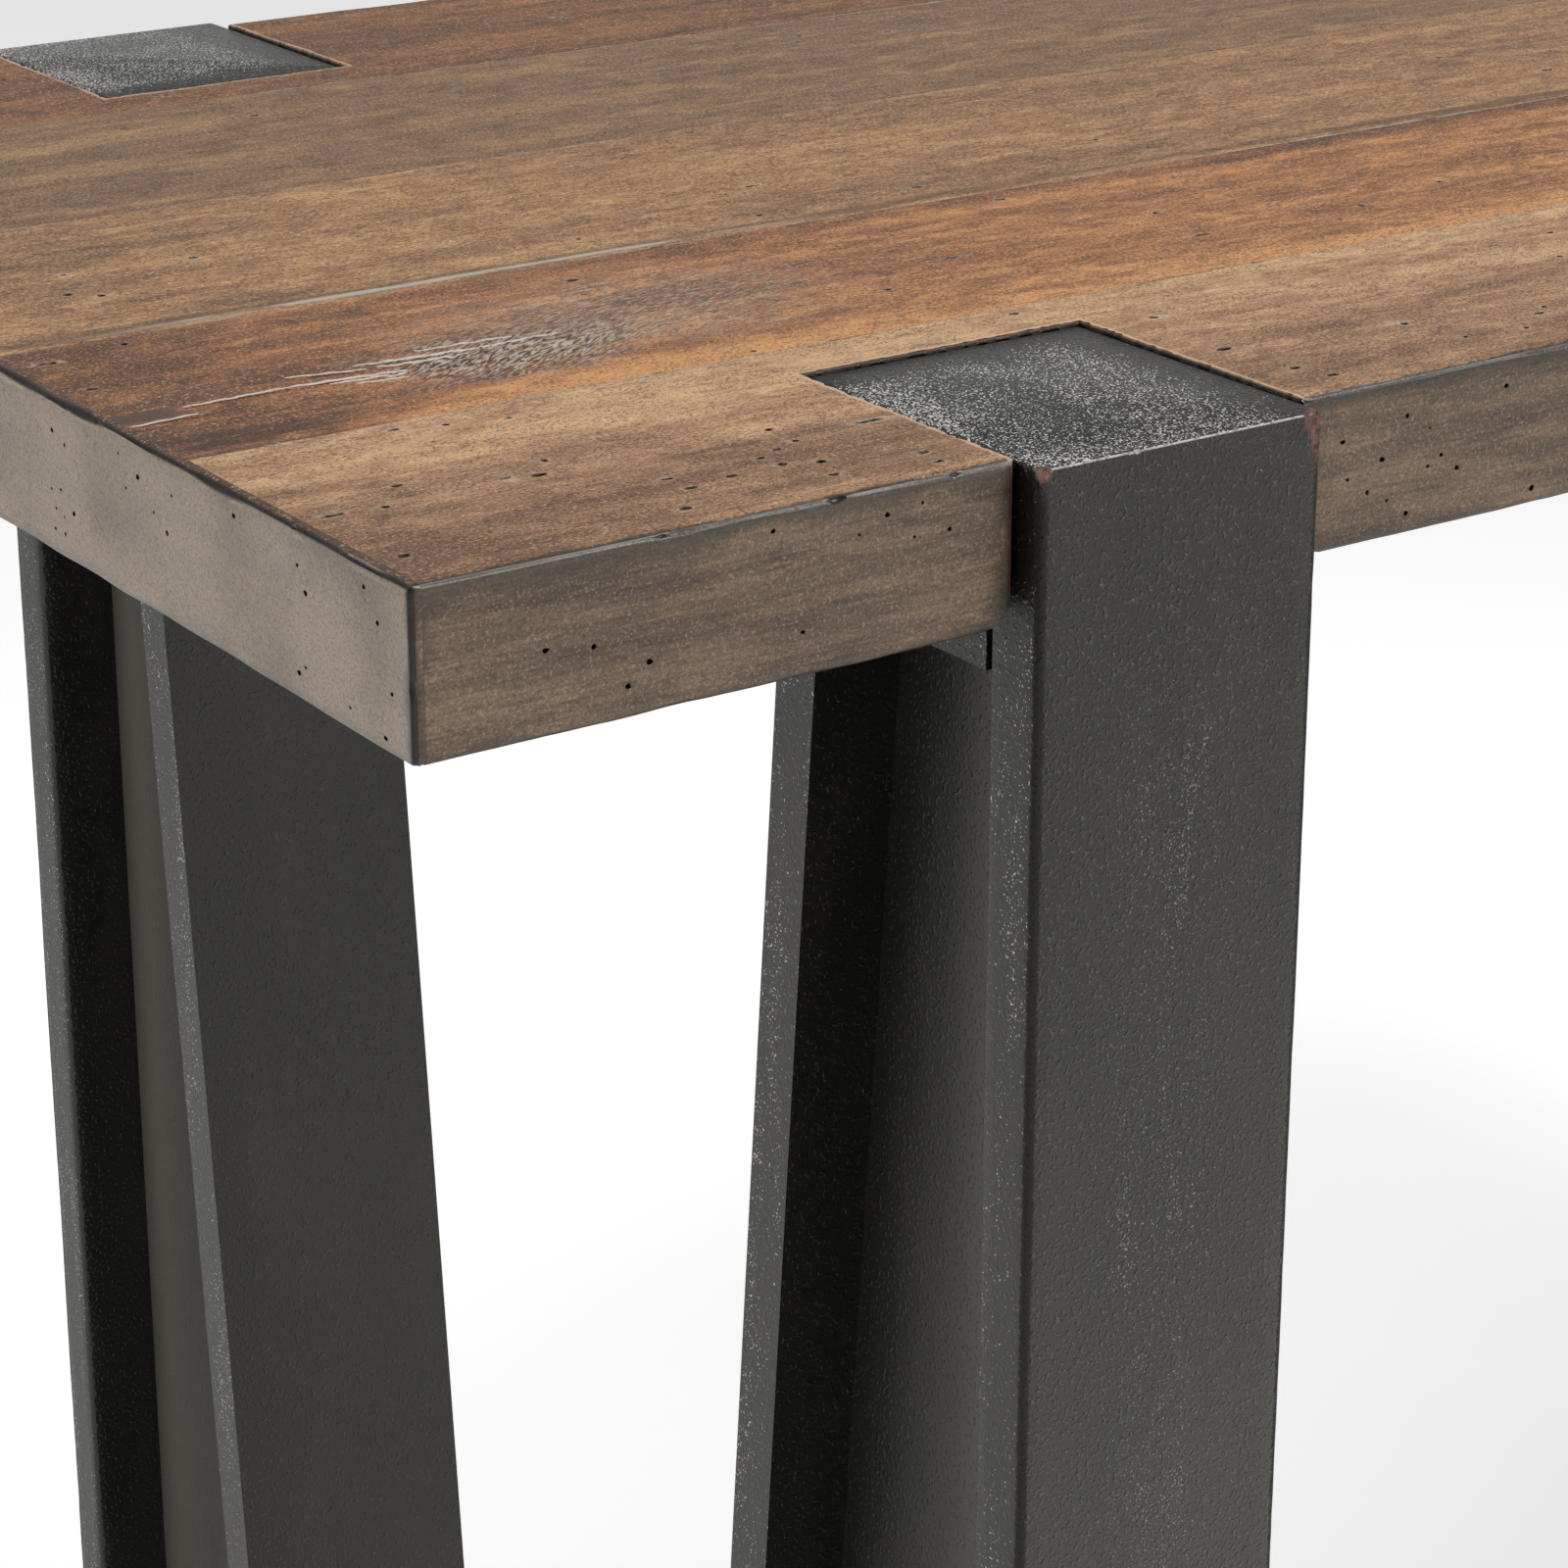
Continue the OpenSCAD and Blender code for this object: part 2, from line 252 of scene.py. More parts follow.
class Nodes:
    """A node tree, with short calls for the nodes that it is made of."""

    def __init__(self, owner):
        owner.use_nodes = True
        self.tree = owner.node_tree

    def join(self, value, socket):
        if isinstance(value, bpy.types.NodeSocket):
            self.tree.links.new(value, socket)
        else:
            socket.default_value = linear(value)

    def add(self, kind, *values, **settings):
        """A node with values for its first inputs, and with settings."""
        node = self.tree.nodes.new("ShaderNode" + kind)
        for name, setting in settings.items():
            setattr(node, name, setting)
        for value, socket in zip(values, node.inputs):
            self.join(value, socket)
        return node

    def axes(self, value):
        return self.add("SeparateXYZ", value).outputs

    def math(self, operation, a, b=0.0, clamp=False):
        return self.add("Math", a, b, operation=operation, use_clamp=clamp).outputs[0]

    def chain(self, operation, values):
        """One operation over several values, from left to right."""
        total = values[0]
        for value in values[1:]:
            total = self.math(operation, total, value)
        return total

    def times(self, *values):
        return self.chain("MULTIPLY", values)

    def plus(self, *values):
        return self.chain("ADD", values)

    def least(self, *values):
        return self.chain("MINIMUM", values)

    def most(self, *values):
        return self.chain("MAXIMUM", values)

    def minus(self, a, b):
        return self.math("SUBTRACT", a, b)

    def size(self, value):
        """The value without its sign."""
        return self.math("ABSOLUTE", value)

    def invert(self, value):
        return self.math("SUBTRACT", 1.0, value, clamp=True)

    def step(self, value, low, high, to_low=0.0, to_high=1.0):
        """Smooth step from to_low at low to to_high at high."""
        given = (value, low, high, to_low, to_high)
        return self.add("MapRange", *given, interpolation_type="SMOOTHSTEP").outputs[0]

    def fall(self, value, low, high):
        """Smooth step from 1 at low to 0 at high."""
        return self.step(value, low, high, 1.0, 0.0)

    def mix(self, factor, a, b):
        node = self.add("Mix", data_type="RGBA", clamp_factor=True)
        for value, socket in zip((factor, a, b), MIX_SOCKETS):
            self.join(value, node.inputs[socket])
        return node.outputs[2]

    def tint(self, colour, *layers):
        """The colour mixed toward one colour after another, each by the product of its factors."""
        for code, *factors in layers:
            colour = self.mix(self.times(*factors), colour, code)
        return colour

    def ramp(self, factor, *stops):
        """Colours at places from 0 to 1."""
        node = self.add("ValToRGB", factor)
        elements = node.color_ramp.elements
        while len(elements) < len(stops):
            elements.new(0.5)
        for element, (place, colour) in zip(elements, stops):
            element.position = place
            element.color = linear(colour)
        return node.outputs[0]


class Paint(Nodes):
    """The node tree of a material."""

    def __init__(self, name):
        self.material = bpy.data.materials.new(name)
        super().__init__(self.material)
        self.position = self.add("TexCoord").outputs["Object"]
        self.x, self.y, self.z = self.axes(self.position)
        normal = self.add("NewGeometry").outputs["Normal"]
        self.normal_x, self.normal_y, self.normal_z = self.axes(normal)

    def attribute(self, name):
        """A value that the mesh holds at its points."""
        return self.add("Attribute", attribute_name=name).outputs["Fac"]

    def mapped(self, position, location=(0, 0, 0), degrees=(0, 0, 0), scale=(1, 1, 1)):
        """The position scaled, turned about the three axes and moved."""
        turn = [math.radians(d) for d in degrees]
        return self.add("Mapping", position, location, turn, scale).outputs[0]

    def noise(self, sizes, seed=0, detail=2, roughness=0.5, distortion=0, position=None):
        """Noise whose cells have a size in mm: one for all axes, along X and across it, or for each axis."""
        sizes = sizes if isinstance(sizes, tuple) else (sizes,)
        sizes = [1 / (size * MM) for size in (sizes + sizes[-1:] * 2)[:3]]
        offset = (seed * 7.31, seed * 3.17, seed * 5.73)
        node = self.add("TexNoise")
        given = {"Vector": self.mapped(position or self.position, offset, scale=sizes), "Scale": 1,
                 "Detail": detail, "Roughness": roughness, "Distortion": distortion}
        for name, value in given.items():
            self.join(value, node.inputs[name])
        return node.outputs["Fac"]

    def bump(self, height, distance, strength=1.0):
        """A bump whose height runs from 0 to 1 over the given distance in metres."""
        node = self.add("Bump")
        for name, value in (("Strength", strength), ("Distance", distance), ("Height", height)):
            self.join(value, node.inputs[name])
        return node.outputs[0]

    def near(self, socket, place, inner, outer):
        """1 within inner of a place along one axis, fading to 0 at outer."""
        return self.fall(self.size(self.minus(socket, place)), inner, outer)

    def finish(self, **sockets):
        """Joins values to the shader's sockets. Returns the material."""
        shader = self.tree.nodes["Principled BSDF"]
        for name, value in sockets.items():
            self.join(value, shader.inputs[name.replace("_", " ")])
        return self.material


# ---- Wood ----

def wood(name, seed, tones, gradient=None, features=None):
    """Stained, lacquered and distressed wood, with its grain along X.

    tones holds the dark, middle and light colours of the top face. gradient takes the paint and returns
    how much lighter the top is at a place. features changes the colour, height and roughness of one board.
    """
    p = Paint(name)
    p.across = p.math("MULTIPLY", p.minus(p.x, CORNER.x), 1000)
    p.back = p.math("MULTIPLY", p.minus(p.y, CORNER.y), 1000)
    under = p.fall(p.normal_z, -0.8, -0.35)
    end = p.step(p.size(p.normal_x), 0.35, 0.75)
    side = p.step(p.size(p.normal_y), 0.35, 0.75)
    top = p.step(p.normal_z, 0.35, 0.75)

    # Grain: soft bands, streaks and mottling, drawn out along X, under a fine crackle and grit
    bands = p.noise((170, 20), seed, 2, 0.5, 0.8)
    streaks = p.noise((40, 1.5), seed + 1, 3, 0.6, 0.4)
    mottle = p.noise((15, 6), seed + 2, 4, 0.65, 0.8)
    grit = p.noise((0.95, 0.62), seed + 3, 1, 0.6)
    tone = p.plus(p.times(bands, 0.36), p.times(streaks, 0.18), p.times(mottle, 0.46))
    if gradient is not None:
        tone = p.plus(tone, gradient(p))
    dark, middle, light = tones
    pores = p.step(p.noise((7, 0.55), seed + 4, 1, 0.6), 0.42, 0.30)
    threads = p.step(p.noise((26, 0.8), seed + 5, 2, 0.6), 0.60, 0.72)
    wrinkle = p.noise((1.8, 1.2), seed + 6, 1, 0.5, 0.6)
    crackle = p.times(p.fall(p.size(p.plus(wrinkle, -0.5)), 0.008, 0.045),
                      p.step(p.noise((14, 9), seed + 7, 2, 0.6), 0.30, 0.52))
    # The grit is painted darker in its hollows and paler on its peaks, following its bump: painted shade and
    # painted highlight on the relief
    colour = p.tint(p.ramp(tone, (0.36, dark), (0.50, middle), (0.64, light)),
                    ("#3a281c", pores, 0.35), ("#c09a6c", threads, 0.30),
                    ("#2b1e16", p.step(grit, 0.44, 0.30), 0.66), ("#dab78c", p.step(grit, 0.56, 0.72), 0.52),
                    ("#35241a", crackle, 0.68))
    height = p.plus(grit, p.times(streaks, 0.5), p.times(pores, -0.4), p.times(crackle, -0.5))
    roughness = p.plus(0.36, p.times(grit, 0.14), p.times(bands, 0.12))
    if features is not None:
        colour, height, roughness = features(p, colour, height, roughness)

    # Edge faces: grey-brown stain along the sides, paler taupe on the ends, and both finely speckled
    side_tone = p.plus(p.times(p.noise((60, 9, 7), 8, 4, 0.6, 0.5), 0.6),
                       p.times(p.noise((16, 1.6, 0.8), 9, 3, 0.6), 0.4))
    side_colour = p.tint(p.ramp(side_tone, (0.36, "#463931"), (0.5, "#645241"), (0.64, "#7b664f")),
                         ("#2e2620", crackle, 0.4))
    end_tone = p.plus(p.times(p.noise((40, 46, 14), 10, 4, 0.55, 0.8), 0.8),
                      p.times(p.noise(3, 11, 3, 0.6), 0.2))
    turned = p.mapped(p.position, degrees=(-38, 0, 0))
    scratches = p.step(p.noise((1000, 16, 0.4), 12, 1, 0.5, 0.3, turned), 0.68, 0.74)
    end_colour = p.tint(p.ramp(end_tone, (0.22, "#756f66"), (0.5, "#85786b"), (0.78, "#938171")),
                        ("#3b352f", scratches, 0.42))
    speck = p.noise((0.7, 0.7, 0.6), 13, 1, 0.6)
    edge_colour = p.mix(end, side_colour, end_colour)
    edge_colour = p.tint(edge_colour, ("#2e2620", p.step(speck, 0.46, 0.3), 0.42),
                         ("#b39c86", p.step(speck, 0.56, 0.72), 0.30))
    under_colour = p.ramp(streaks, (0.35, "#40301f"), (0.6, "#5f4a35"))
    colour = p.mix(p.most(side, end), colour, edge_colour)
    colour = p.mix(under, colour, under_colour)

    # Distances from the outer faces of the whole top
    from_top = p.minus(TOP_HI.z, p.z)
    from_under = p.minus(p.z, TOP_LO.z)
    from_side = p.minus(TOP_HI.y, p.size(p.y))
    from_end = p.minus(TOP_HI.x, p.size(p.x))
    depth = p.least(from_top, from_under, from_side, from_end)
    in_notch_x = p.size(p.minus(p.size(p.x), LEG_MIDDLE))
    beyond_x = p.minus(in_notch_x, LEG_HALF + NOTCH_GAP)
    beyond_y = p.minus(abs(CAP_HI.y) - NOTCH_GAP, p.size(p.y))

    # Dark glaze along the eased edges, uneven in width; the band below the top edge on the sides is glaze and
    # painted shadow under the arris
    uneven = p.noise((22, 22, 14), seed + 12, 3, 0.6)
    wide = p.step(uneven, 0.32, 0.68, 0.55, 1.6)
    top_rim = p.fall(p.least(from_side, p.times(from_end, 1.6)), 1.1 * MM, p.times(wide, 2.2 * MM))
    upper_glaze_and_shade = p.fall(from_top, 1.2 * MM, p.times(wide, 6.5 * MM))
    upper_glaze_and_shade = p.times(upper_glaze_and_shade, p.invert(p.times(end, 0.8)))
    corner_rim = p.fall(p.least(from_end, p.times(beyond_x, 0.8)), 0.6 * MM, p.times(wide, 4.5 * MM))
    corner_rim = p.times(corner_rim, p.invert(end))
    far_rim = p.times(p.fall(from_side, 0.6 * MM, p.times(wide, 3.0 * MM)), end)
    low_rim = p.fall(from_under, 0.5 * MM, p.times(wide, 3.2 * MM))
    rim = p.most(p.times(upper_glaze_and_shade, 0.8), p.times(corner_rim, 0.85), far_rim, p.times(low_rim, 0.6))
    rim = p.most(p.times(top_rim, top), p.times(rim, p.invert(top)))
    glaze = p.mix(p.times(end, 0.75), "#2a2724", "#47463f")
    colour = p.mix(p.times(rim, 0.88), colour, glaze)
    roughness = p.minus(roughness, p.times(rim, 0.16))
    height = p.times(height, p.step(rim, 0.0, 1.0, 1.0, 0.25))

    # The arrises: a pale painted highlight along the sides of the top, dark with a pale lip along its ends
    # and uprights
    size_x, size_y = p.size(p.normal_x), p.size(p.normal_y)
    arris_highlight = p.times(p.step(p.least(size_y, p.normal_z), 0.48, 0.64), p.step(uneven, 0.28, 0.48, 0.3, 1.0))
    dark_line = p.most(p.step(p.least(size_x, p.normal_z), 0.34, 0.58),
                       p.step(p.least(size_x, size_y), 0.16, 0.34))
    lip = p.times(p.near(from_top, 2.0 * MM, 0.2 * MM, 0.6 * MM), end, p.step(uneven, 0.5, 0.6))

    # Pale splinters round the worm holes, raw wood in chips and in the rim of the notches, and painted shade
    # deep inside holes
    halo = p.times(p.attribute("halo"), p.step(p.noise((2.4, 0.6), 14, 1, 0.6), 0.38, 0.6))
    chip = p.times(p.fall(p.most(beyond_x, beyond_y), 0.5 * MM, 1.5 * MM),
                   p.step(depth, 0.1 * MM, 0.22 * MM))
    line = p.fall(p.plus(p.most(beyond_x, beyond_y), p.times(uneven, 2.4 * MM)), 2.2 * MM, 2.9 * MM)
    # Painted shade: whatever lies more than a quarter millimetre inside the top's outer faces, in holes,
    # cracks, chips and notch walls, is painted near black
    hole = p.step(depth, 0.25 * MM, 0.6 * MM)
    colour = p.tint(colour, ("#aaa59c", arris_highlight, 0.72), ("#1d1a17", dark_line, 0.88), ("#b3a593", lip, 0.3),
                    ("#b9ac9b", halo, 0.75), ("#9a7051", chip, 0.75), ("#c9ad92", line, top, 0.65),
                    ("#0d0907", hole))
    return p.finish(Base_Color=colour, Roughness=roughness, Normal=p.bump(height, 0.11 * MM, 0.9),
                    Specular_IOR_Level=0.32)


# ---- Steel ----

def steel_paint(name, grain):
    """Charcoal hammered paint over steel, with the given size of its pebbles in mm."""
    p = Paint(name)
    up = p.step(p.normal_z, 0.5, 0.9)
    sideways = p.step(p.size(p.normal_x), 0.6, 0.9)
    local_x = p.minus(p.size(p.x), LEG_MIDDLE)
    from_edge = p.minus(LEG_HALF, p.size(local_x))
    from_front = p.minus(abs(CAP_LO.y), p.size(p.y))
    from_cap = p.minus(CAP_HI.z, p.z)
    on_front = p.fall(from_front, 0.6 * MM, 1.6 * MM)
    on_side = p.times(sideways, p.fall(from_edge, 0.6 * MM, 2 * MM))
    pebbles = p.step(p.noise(grain, 1, 1, 0.5, 0.15), 0.50, 0.80)
    fine = p.noise(grain * 0.48, 2, 1, 0.6)
    clouds = p.noise((45, 45, 110), 3, 4, 0.6, 0.4)
    # The base colour is painted a little lighter on the peaks of the pebbles and fine bumps: painted
    # highlight on the relief
    colour = p.ramp(p.plus(p.times(clouds, 0.5), p.times(pebbles, 0.15), p.times(fine, 0.3), 0.03),
                    (0.36, "#0d0d0b"), (0.5, "#191815"), (0.64, "#2b2924"))
    # Painted glints: tiny painted highlights where the paint peaks, dense on top, in streaks on the narrow
    # sides, sparse in front
    dense = p.step(clouds, 0.38, 0.58)
    back_in = p.minus(p.size(p.y), abs(CAP_HI.y))
    side_in = p.minus(LEG_HALF, p.minus(LEG_MIDDLE, p.size(p.x)))
    clear = p.times(p.step(p.plus(back_in, p.times(clouds, 14 * MM)), 9 * MM, 22 * MM),
                    p.step(p.plus(side_in, p.times(clouds, 18 * MM)), 10 * MM, 30 * MM))
    streak = p.step(p.noise((9, 9, 60), 6, 3, 0.6), 0.44, 0.64)
    outer_side = p.step(local_x, -12 * MM, 34 * MM)
    middle = p.times(on_front, p.near(p.plus(local_x, p.times(clouds, 14 * MM)), 7 * MM, 6 * MM, 28 * MM),
                     p.step(from_cap, 0.02, 0.09))
    amount = p.plus(p.times(up, clear, p.plus(0.26, p.times(dense, 0.28), p.times(outer_side, 0.26))),
                    p.times(on_side, p.plus(0.08, p.times(streak, 0.30))),
                    p.times(middle, p.plus(0.26, p.times(streak, 0.22))), 0.10)
    glint = p.noise(grain * 0.44, 5, 0, 0.5)
    low = p.step(amount, 0.0, 1.0, 0.80, 0.54)
    glint = p.step(glint, low, p.plus(low, 0.08))
    shown = p.plus(0.14, p.times(up, 0.84), p.times(on_side, 0.6), p.times(middle, 0.2))
    # Painted light: the front is painted paler downward and on its pebbles' peaks, and the web paler toward
    # the outer flange, where light reaches it
    lighter = p.plus(p.times(pebbles, 0.30), p.step(from_cap, 0.03, 0.40, 0.0, 0.15))
    lit_web = p.times(sideways, p.step(from_edge, 18 * MM, 22 * MM),
                      p.step(from_front, 20 * MM, 66 * MM, 0.62, 0.0))
    # A painted highlight along the cap's rounded front edge, and painted shade on the flange's side in the
    # slot between the flange and the wood
    painted_edge_highlight = p.times(p.step(p.least(p.size(p.normal_y), p.normal_z), 0.42, 0.62), p.step(clouds, 0.36, 0.5))
    slot = p.times(on_side, p.fall(from_cap, 35 * MM, 43 * MM))
    height = p.plus(pebbles, p.times(fine, 0.30), p.times(glint, 0.3))
    height = p.times(height, p.plus(0.32, p.times(on_front, 0.88)))
    roughness = p.plus(0.22, p.times(clouds, 0.14), p.times(fine, 0.06), p.times(sideways, 0.12))
    # Painted shade: a dark, jagged line down the upright edges
    ragged = p.noise(2.6, 4, 3, 0.7)
    jagged = p.plus(p.most(from_edge, from_front), p.times(ragged, 1.4 * MM), p.times(fine, 1.8 * MM))
    upright_edge_shade = p.fall(jagged, 3.1 * MM, 3.7 * MM)
    upright_edge_shade = p.times(upright_edge_shade, p.step(from_cap, 3 * MM, 8 * MM))
    colour = p.tint(colour, ("#d3d1ca", glint, shown),
                    ("#646259", p.plus(p.times(on_front, lighter), lit_web)), ("#b9b7b0", painted_edge_highlight, 0.75),
                    ("#040404", slot, p.invert(p.times(glint, 0.5))), ("#080707", upright_edge_shade, 0.9))
    roughness = p.plus(roughness, p.times(upright_edge_shade, 0.4))

    # Rub-through: a brown chip at the outer upper corner, a dark red patch down the inner one
    outer = p.step(local_x, -1 * MM, 1 * MM)
    corner = p.plus(from_edge, from_front)
    chip = p.plus(corner, p.times(from_cap, 0.8), p.times(ragged, 5 * MM))
    chip = p.times(p.fall(chip, 5.8 * MM, 6.6 * MM), outer)
    colour = p.mix(chip, colour, p.ramp(ragged, (0.42, "#33261f"), (0.6, "#77594a")))
    patch = p.plus(from_edge, p.times(from_front, 1.5), p.times(from_cap, 0.40), p.times(ragged, 7 * MM))
    patch = p.times(p.fall(patch, 9.2 * MM, 10.0 * MM), p.invert(outer))
    colour = p.mix(patch, colour, p.ramp(ragged, (0.38, "#2a1512"), (0.60, "#6a4038")))
    return p.finish(Base_Color=colour, Roughness=roughness, Normal=p.bump(height, 0.5 * MM),
                    Specular_IOR_Level=0.41, Specular_Tint=(1.0, 0.98, 0.92, 1.0))


def metal(name, colour, rough):
    """Plated or plain metal with fine turning marks and a little tarnish."""
    p = Paint(name)
    marks = p.noise((0.5, 0.5, 3), 1, 2, 0.6)
    tarnish = p.noise(6, 2, 3, 0.6)
    return p.finish(Base_Color=p.mix(p.step(tarnish, 0.45, 0.75, 0.0, 0.6), colour, "#5f5a50"), Metallic=1.0,
                    Roughness=p.plus(rough, p.times(tarnish, 0.2)), Normal=p.bump(marks, 0.05 * MM, 0.4))


def rubber(name):
    """Matt black rubber with a moulded texture and dust."""
    p = Paint(name)
    grain = p.noise(0.4, 1, 2, 0.6)
    dust = p.noise(7, 2, 3, 0.6)
    return p.finish(Base_Color=p.ramp(dust, (0.4, "#1b1b1b"), (0.75, "#343230")),
                    Roughness=p.plus(0.7, p.times(dust, 0.2)), Normal=p.bump(grain, 0.08 * MM, 0.5))


def floor_paint(name):
    """The pale sweep that the table stands on, lit a little from within as a studio sweep is from below."""
    p = Paint(name)
    cloud = p.noise(1600, 1, 2, 0.5)
    return p.finish(Base_Color=p.ramp(cloud, (0.3, grey(0.88)), (0.7, grey(0.92))), Roughness=0.9,
                    Emission_Color=grey(1), Emission_Strength=0.40)


# ---- Features of single boards ----

def front_gradient(p):
    """The front board is golden along its seam and red-brown along the front edge."""
    wander = p.noise((120, 40), 51, 3, 0.55)
    seam_side = p.step(p.plus(p.back, p.times(wander, 60)), 45, 120, -0.05, 0.08)
    red_end = p.step(p.plus(p.across, p.times(p.back, 0.6), p.times(wander, 60)), 40, 120, -0.07, 0.0)
    return p.plus(seam_side, red_end)


def second_gradient(p):
    """The second board is nearly black-brown at the left end and glows orange beside the front seam."""
    wander = p.noise((60, 14), 52, 3, 0.6)
    from_end = p.plus(p.across, p.times(wander, 60))
    dark_end = p.step(from_end, 30, 150, -0.11, 0.03)
    glow = p.times(p.step(p.plus(p.back, p.times(wander, 20)), 108, 128, 0.10, 0.0), p.step(p.across, 40, 90))
    rear = p.times(p.step(p.back, 176, 190, 0.0, -0.09), p.step(p.across, 60, 140))
    return p.plus(dark_end, glow, rear)


PATCH_PLACE, PATCH_HALF = (102, 131), (38, 19)
TAIL_PLACE, TAIL_HALF = (142, 146), (56, 32)
STROKE_TURN = -32


def second_features(p, colour, height, roughness):
    """The second board's rough grey patch, its fading tail, and the pale cracks that run to the end."""
    wobble = p.noise((22, 5), 31, 3, 0.6)

    def oval(place, half):
        away_x = p.math("DIVIDE", p.minus(p.across, place[0]), half[0])
        away_y = p.math("DIVIDE", p.minus(p.back, place[1]), half[1])
        away = p.math("SQRT", p.plus(p.times(away_x, away_x), p.times(away_y, away_y)))
        return p.fall(p.plus(away, p.times(wobble, 1.6)), 1.1, 2.1)

    def turned(degrees):
        return p.mapped(p.position, degrees=(0, 0, degrees))

    strokes = p.noise((3.6, 0.8, 1000), 32, 2, 0.6, 0.5, turned(STROKE_TURN))
    streaked = p.ramp(strokes, (0.38, "#141210"), (0.48, "#4a443e"), (0.58, "#b5afa6"))
    patch = oval(PATCH_PLACE, PATCH_HALF)
    shown = p.times(patch, p.step(p.size(p.plus(strokes, -0.5)), 0.005, 0.05))
    wide = oval(TAIL_PLACE, TAIL_HALF)
    flecks = p.noise((3.4, 0.8, 1000), 33, 2, 0.6, 0.4, turned(STROKE_TURN / 2))
    stain = p.times(p.near(p.back, 104, 3, 14), p.near(p.across, 18, 10, 40), p.step(wobble, 0.35, 0.6))
    blotch = p.times(p.near(p.back, 131, 2.5, 5), p.near(p.across, 6, 8, 16))
    # Lifted slivers are bare, pale wood
    fibres = p.noise((9, 0.35), 34, 2, 0.6)
    bare = p.times(p.step(p.attribute("pale"), 0.2, 0.55), p.step(fibres, 0.30, 0.46, 0.45, 1.0))
    colour = p.tint(colour, (streaked, shown, 0.92), ("#857a70", wide, 0.22),
                    ("#a9a299", wide, p.step(flecks, 0.54, 0.64), 0.75),
                    ("#3a322c", wide, p.step(flecks, 0.46, 0.36), 0.65),
                    ("#2b1d16", stain, 0.7), ("#3d3532", blotch, 0.8), ("#c8c2b8", bare, 0.92))
    height = p.plus(p.times(height, p.invert(bare)), p.times(patch, strokes, 3.0))
    return colour, height, roughness


def middle_features(p, colour, height, roughness):
    """The middle board's pale, glossy line beside its front seam, with a brown shadow along it."""
    wobble = p.noise((34, 5), 41, 3, 0.6)
    line = p.near(p.plus(p.back, p.times(wobble, 4)), 198.4, 0.3, 2.0)
    line = p.times(line, p.near(p.across, 130, 50, 120), p.step(wobble, 0.3, 0.5))
    shade = p.near(p.plus(p.back, p.times(wobble, 8)), 201.5, 0.5, 4.5)
    return p.tint(colour, ("#3a2a1e", shade, 0.55), ("#b5afa4", line, 0.8)), height, roughness


# ---- Holes, chips and cracks ----

# Worm holes near the photographed corner: mm along the front, mm back, and mm of length along the grain
TOP_HOLES = [
    (9, 17, 3), (10, 47, 6), (30, 57, 3), (21, 46, 2), (51, 49, 3), (58, 47, 4), (64, 55, 2), (49, 92, 3),
    (74, 86, 1.5), (60, 89, 2), (115, 37, 2), (108, 34, 2.5), (102, 31, 2), (103, 25, 2.5),
    (111, 22, 2.5), (108, 13, 3), (132, 15, 3), (131, 8, 3), (90, 24, 3), (78, 30, 3), (79, 22, 3),
    (70, 11, 3), (143, 58, 6), (136, 40, 7), (115, 47, 2), (10, 157, 3), (32, 186, 2), (147, 100, 2),
    (215, 92, 3), (236, 41, 5), (239, 20, 3), (242, 11, 3), (240, 71, 3)]
# The same on the front edge and on the left end: mm along, mm below the top
FRONT_HOLES = [
    (121, 5), (112, 6), (105, 9), (119, 12), (128, 12), (49, 30), (54, 26), (255, 9), (262, 13),
    (236, 12), (266, 20), (248, 18), (262, 22), (271, 24), (238, 21), (244, 25), (250, 28), (256, 32),
    (285, 7), (295, 33)]
END_HOLES = [
    (158, 8), (152, 10), (125, 5), (116, 8), (122, 12), (100, 8), (109, 14), (103, 17), (160, 22),
    (155, 21), (158, 26), (154, 27), (149, 25), (159, 31), (154, 31), (45, 8), (42, 13), (18, 5),
    (43, 29), (46, 31), (25, 32), (13, 11), (8, 24), (11, 34), (72, 5), (195, 13)]
# Groups of holes elsewhere: mm along, mm back or down, spread both ways, and how many
TOP_GROUPS = [
    (300, 40, 40, 20, 9), (420, 60, 60, 20, 9), (170, 145, 40, 22, 4), (60, 240, 40, 20, 6),
    (240, 230, 60, 30, 8), (330, 150, 60, 30, 7), (520, 260, 90, 40, 12), (640, 90, 70, 50, 10),
    (700, 360, 90, 60, 14), (860, 60, 60, 30, 10), (900, 230, 80, 50, 10), (1010, 420, 60, 40, 12),
    (1080, 140, 60, 50, 10), (1180, 300, 40, 60, 10), (180, 400, 70, 50, 12), (420, 440, 70, 40, 10),
    (90, 470, 40, 20, 8), (1190, 470, 40, 20, 8), (1200, 60, 40, 30, 9)]
SIDE_GROUPS = [
    (340, 14, 24, 7, 5), (450, 20, 40, 8, 7), (600, 14, 50, 8, 7), (760, 20, 60, 7, 8),
    (930, 18, 60, 8, 10), (1120, 16, 20, 8, 5), (1200, 16, 30, 8, 9), (80, 18, 40, 8, 6)]
END_GROUPS = [
    (210, 18, 16, 8, 6), (280, 14, 20, 7, 7), (350, 22, 14, 6, 8), (420, 12, 16, 6, 6),
    (470, 22, 12, 7, 6)]
# Lifted slivers and cracks of the second board: from and to in mm along and back, and mm of width
SLIVERS = [
    (5, 125.5, 20, 126.4, 0.9), (20, 132.6, 49, 133.8, 0.7), (46, 133.6, 74, 130.8, 1.5),
    (55, 130.6, 73, 128.6, 0.9), (49, 140.6, 67, 136.4, 0.7), (66, 140.2, 99, 137.6, 1.1),
    (97, 138.2, 118, 138.4, 0.9), (70, 136.4, 92, 134.6, 0.8), (60, 127.4, 72, 126.0, 0.6),
    (84, 143.4, 108, 142.2, 0.7)]
CRACKS = [
    (20, 131.6, 46, 132.4, 0.5), (50, 131.9, 62, 130.9, 0.6), (52, 138.2, 66, 135.2, 0.5),
    (68, 138.6, 96, 136.4, 0.5), (6, 124.7, 17, 125.3, 0.5)]


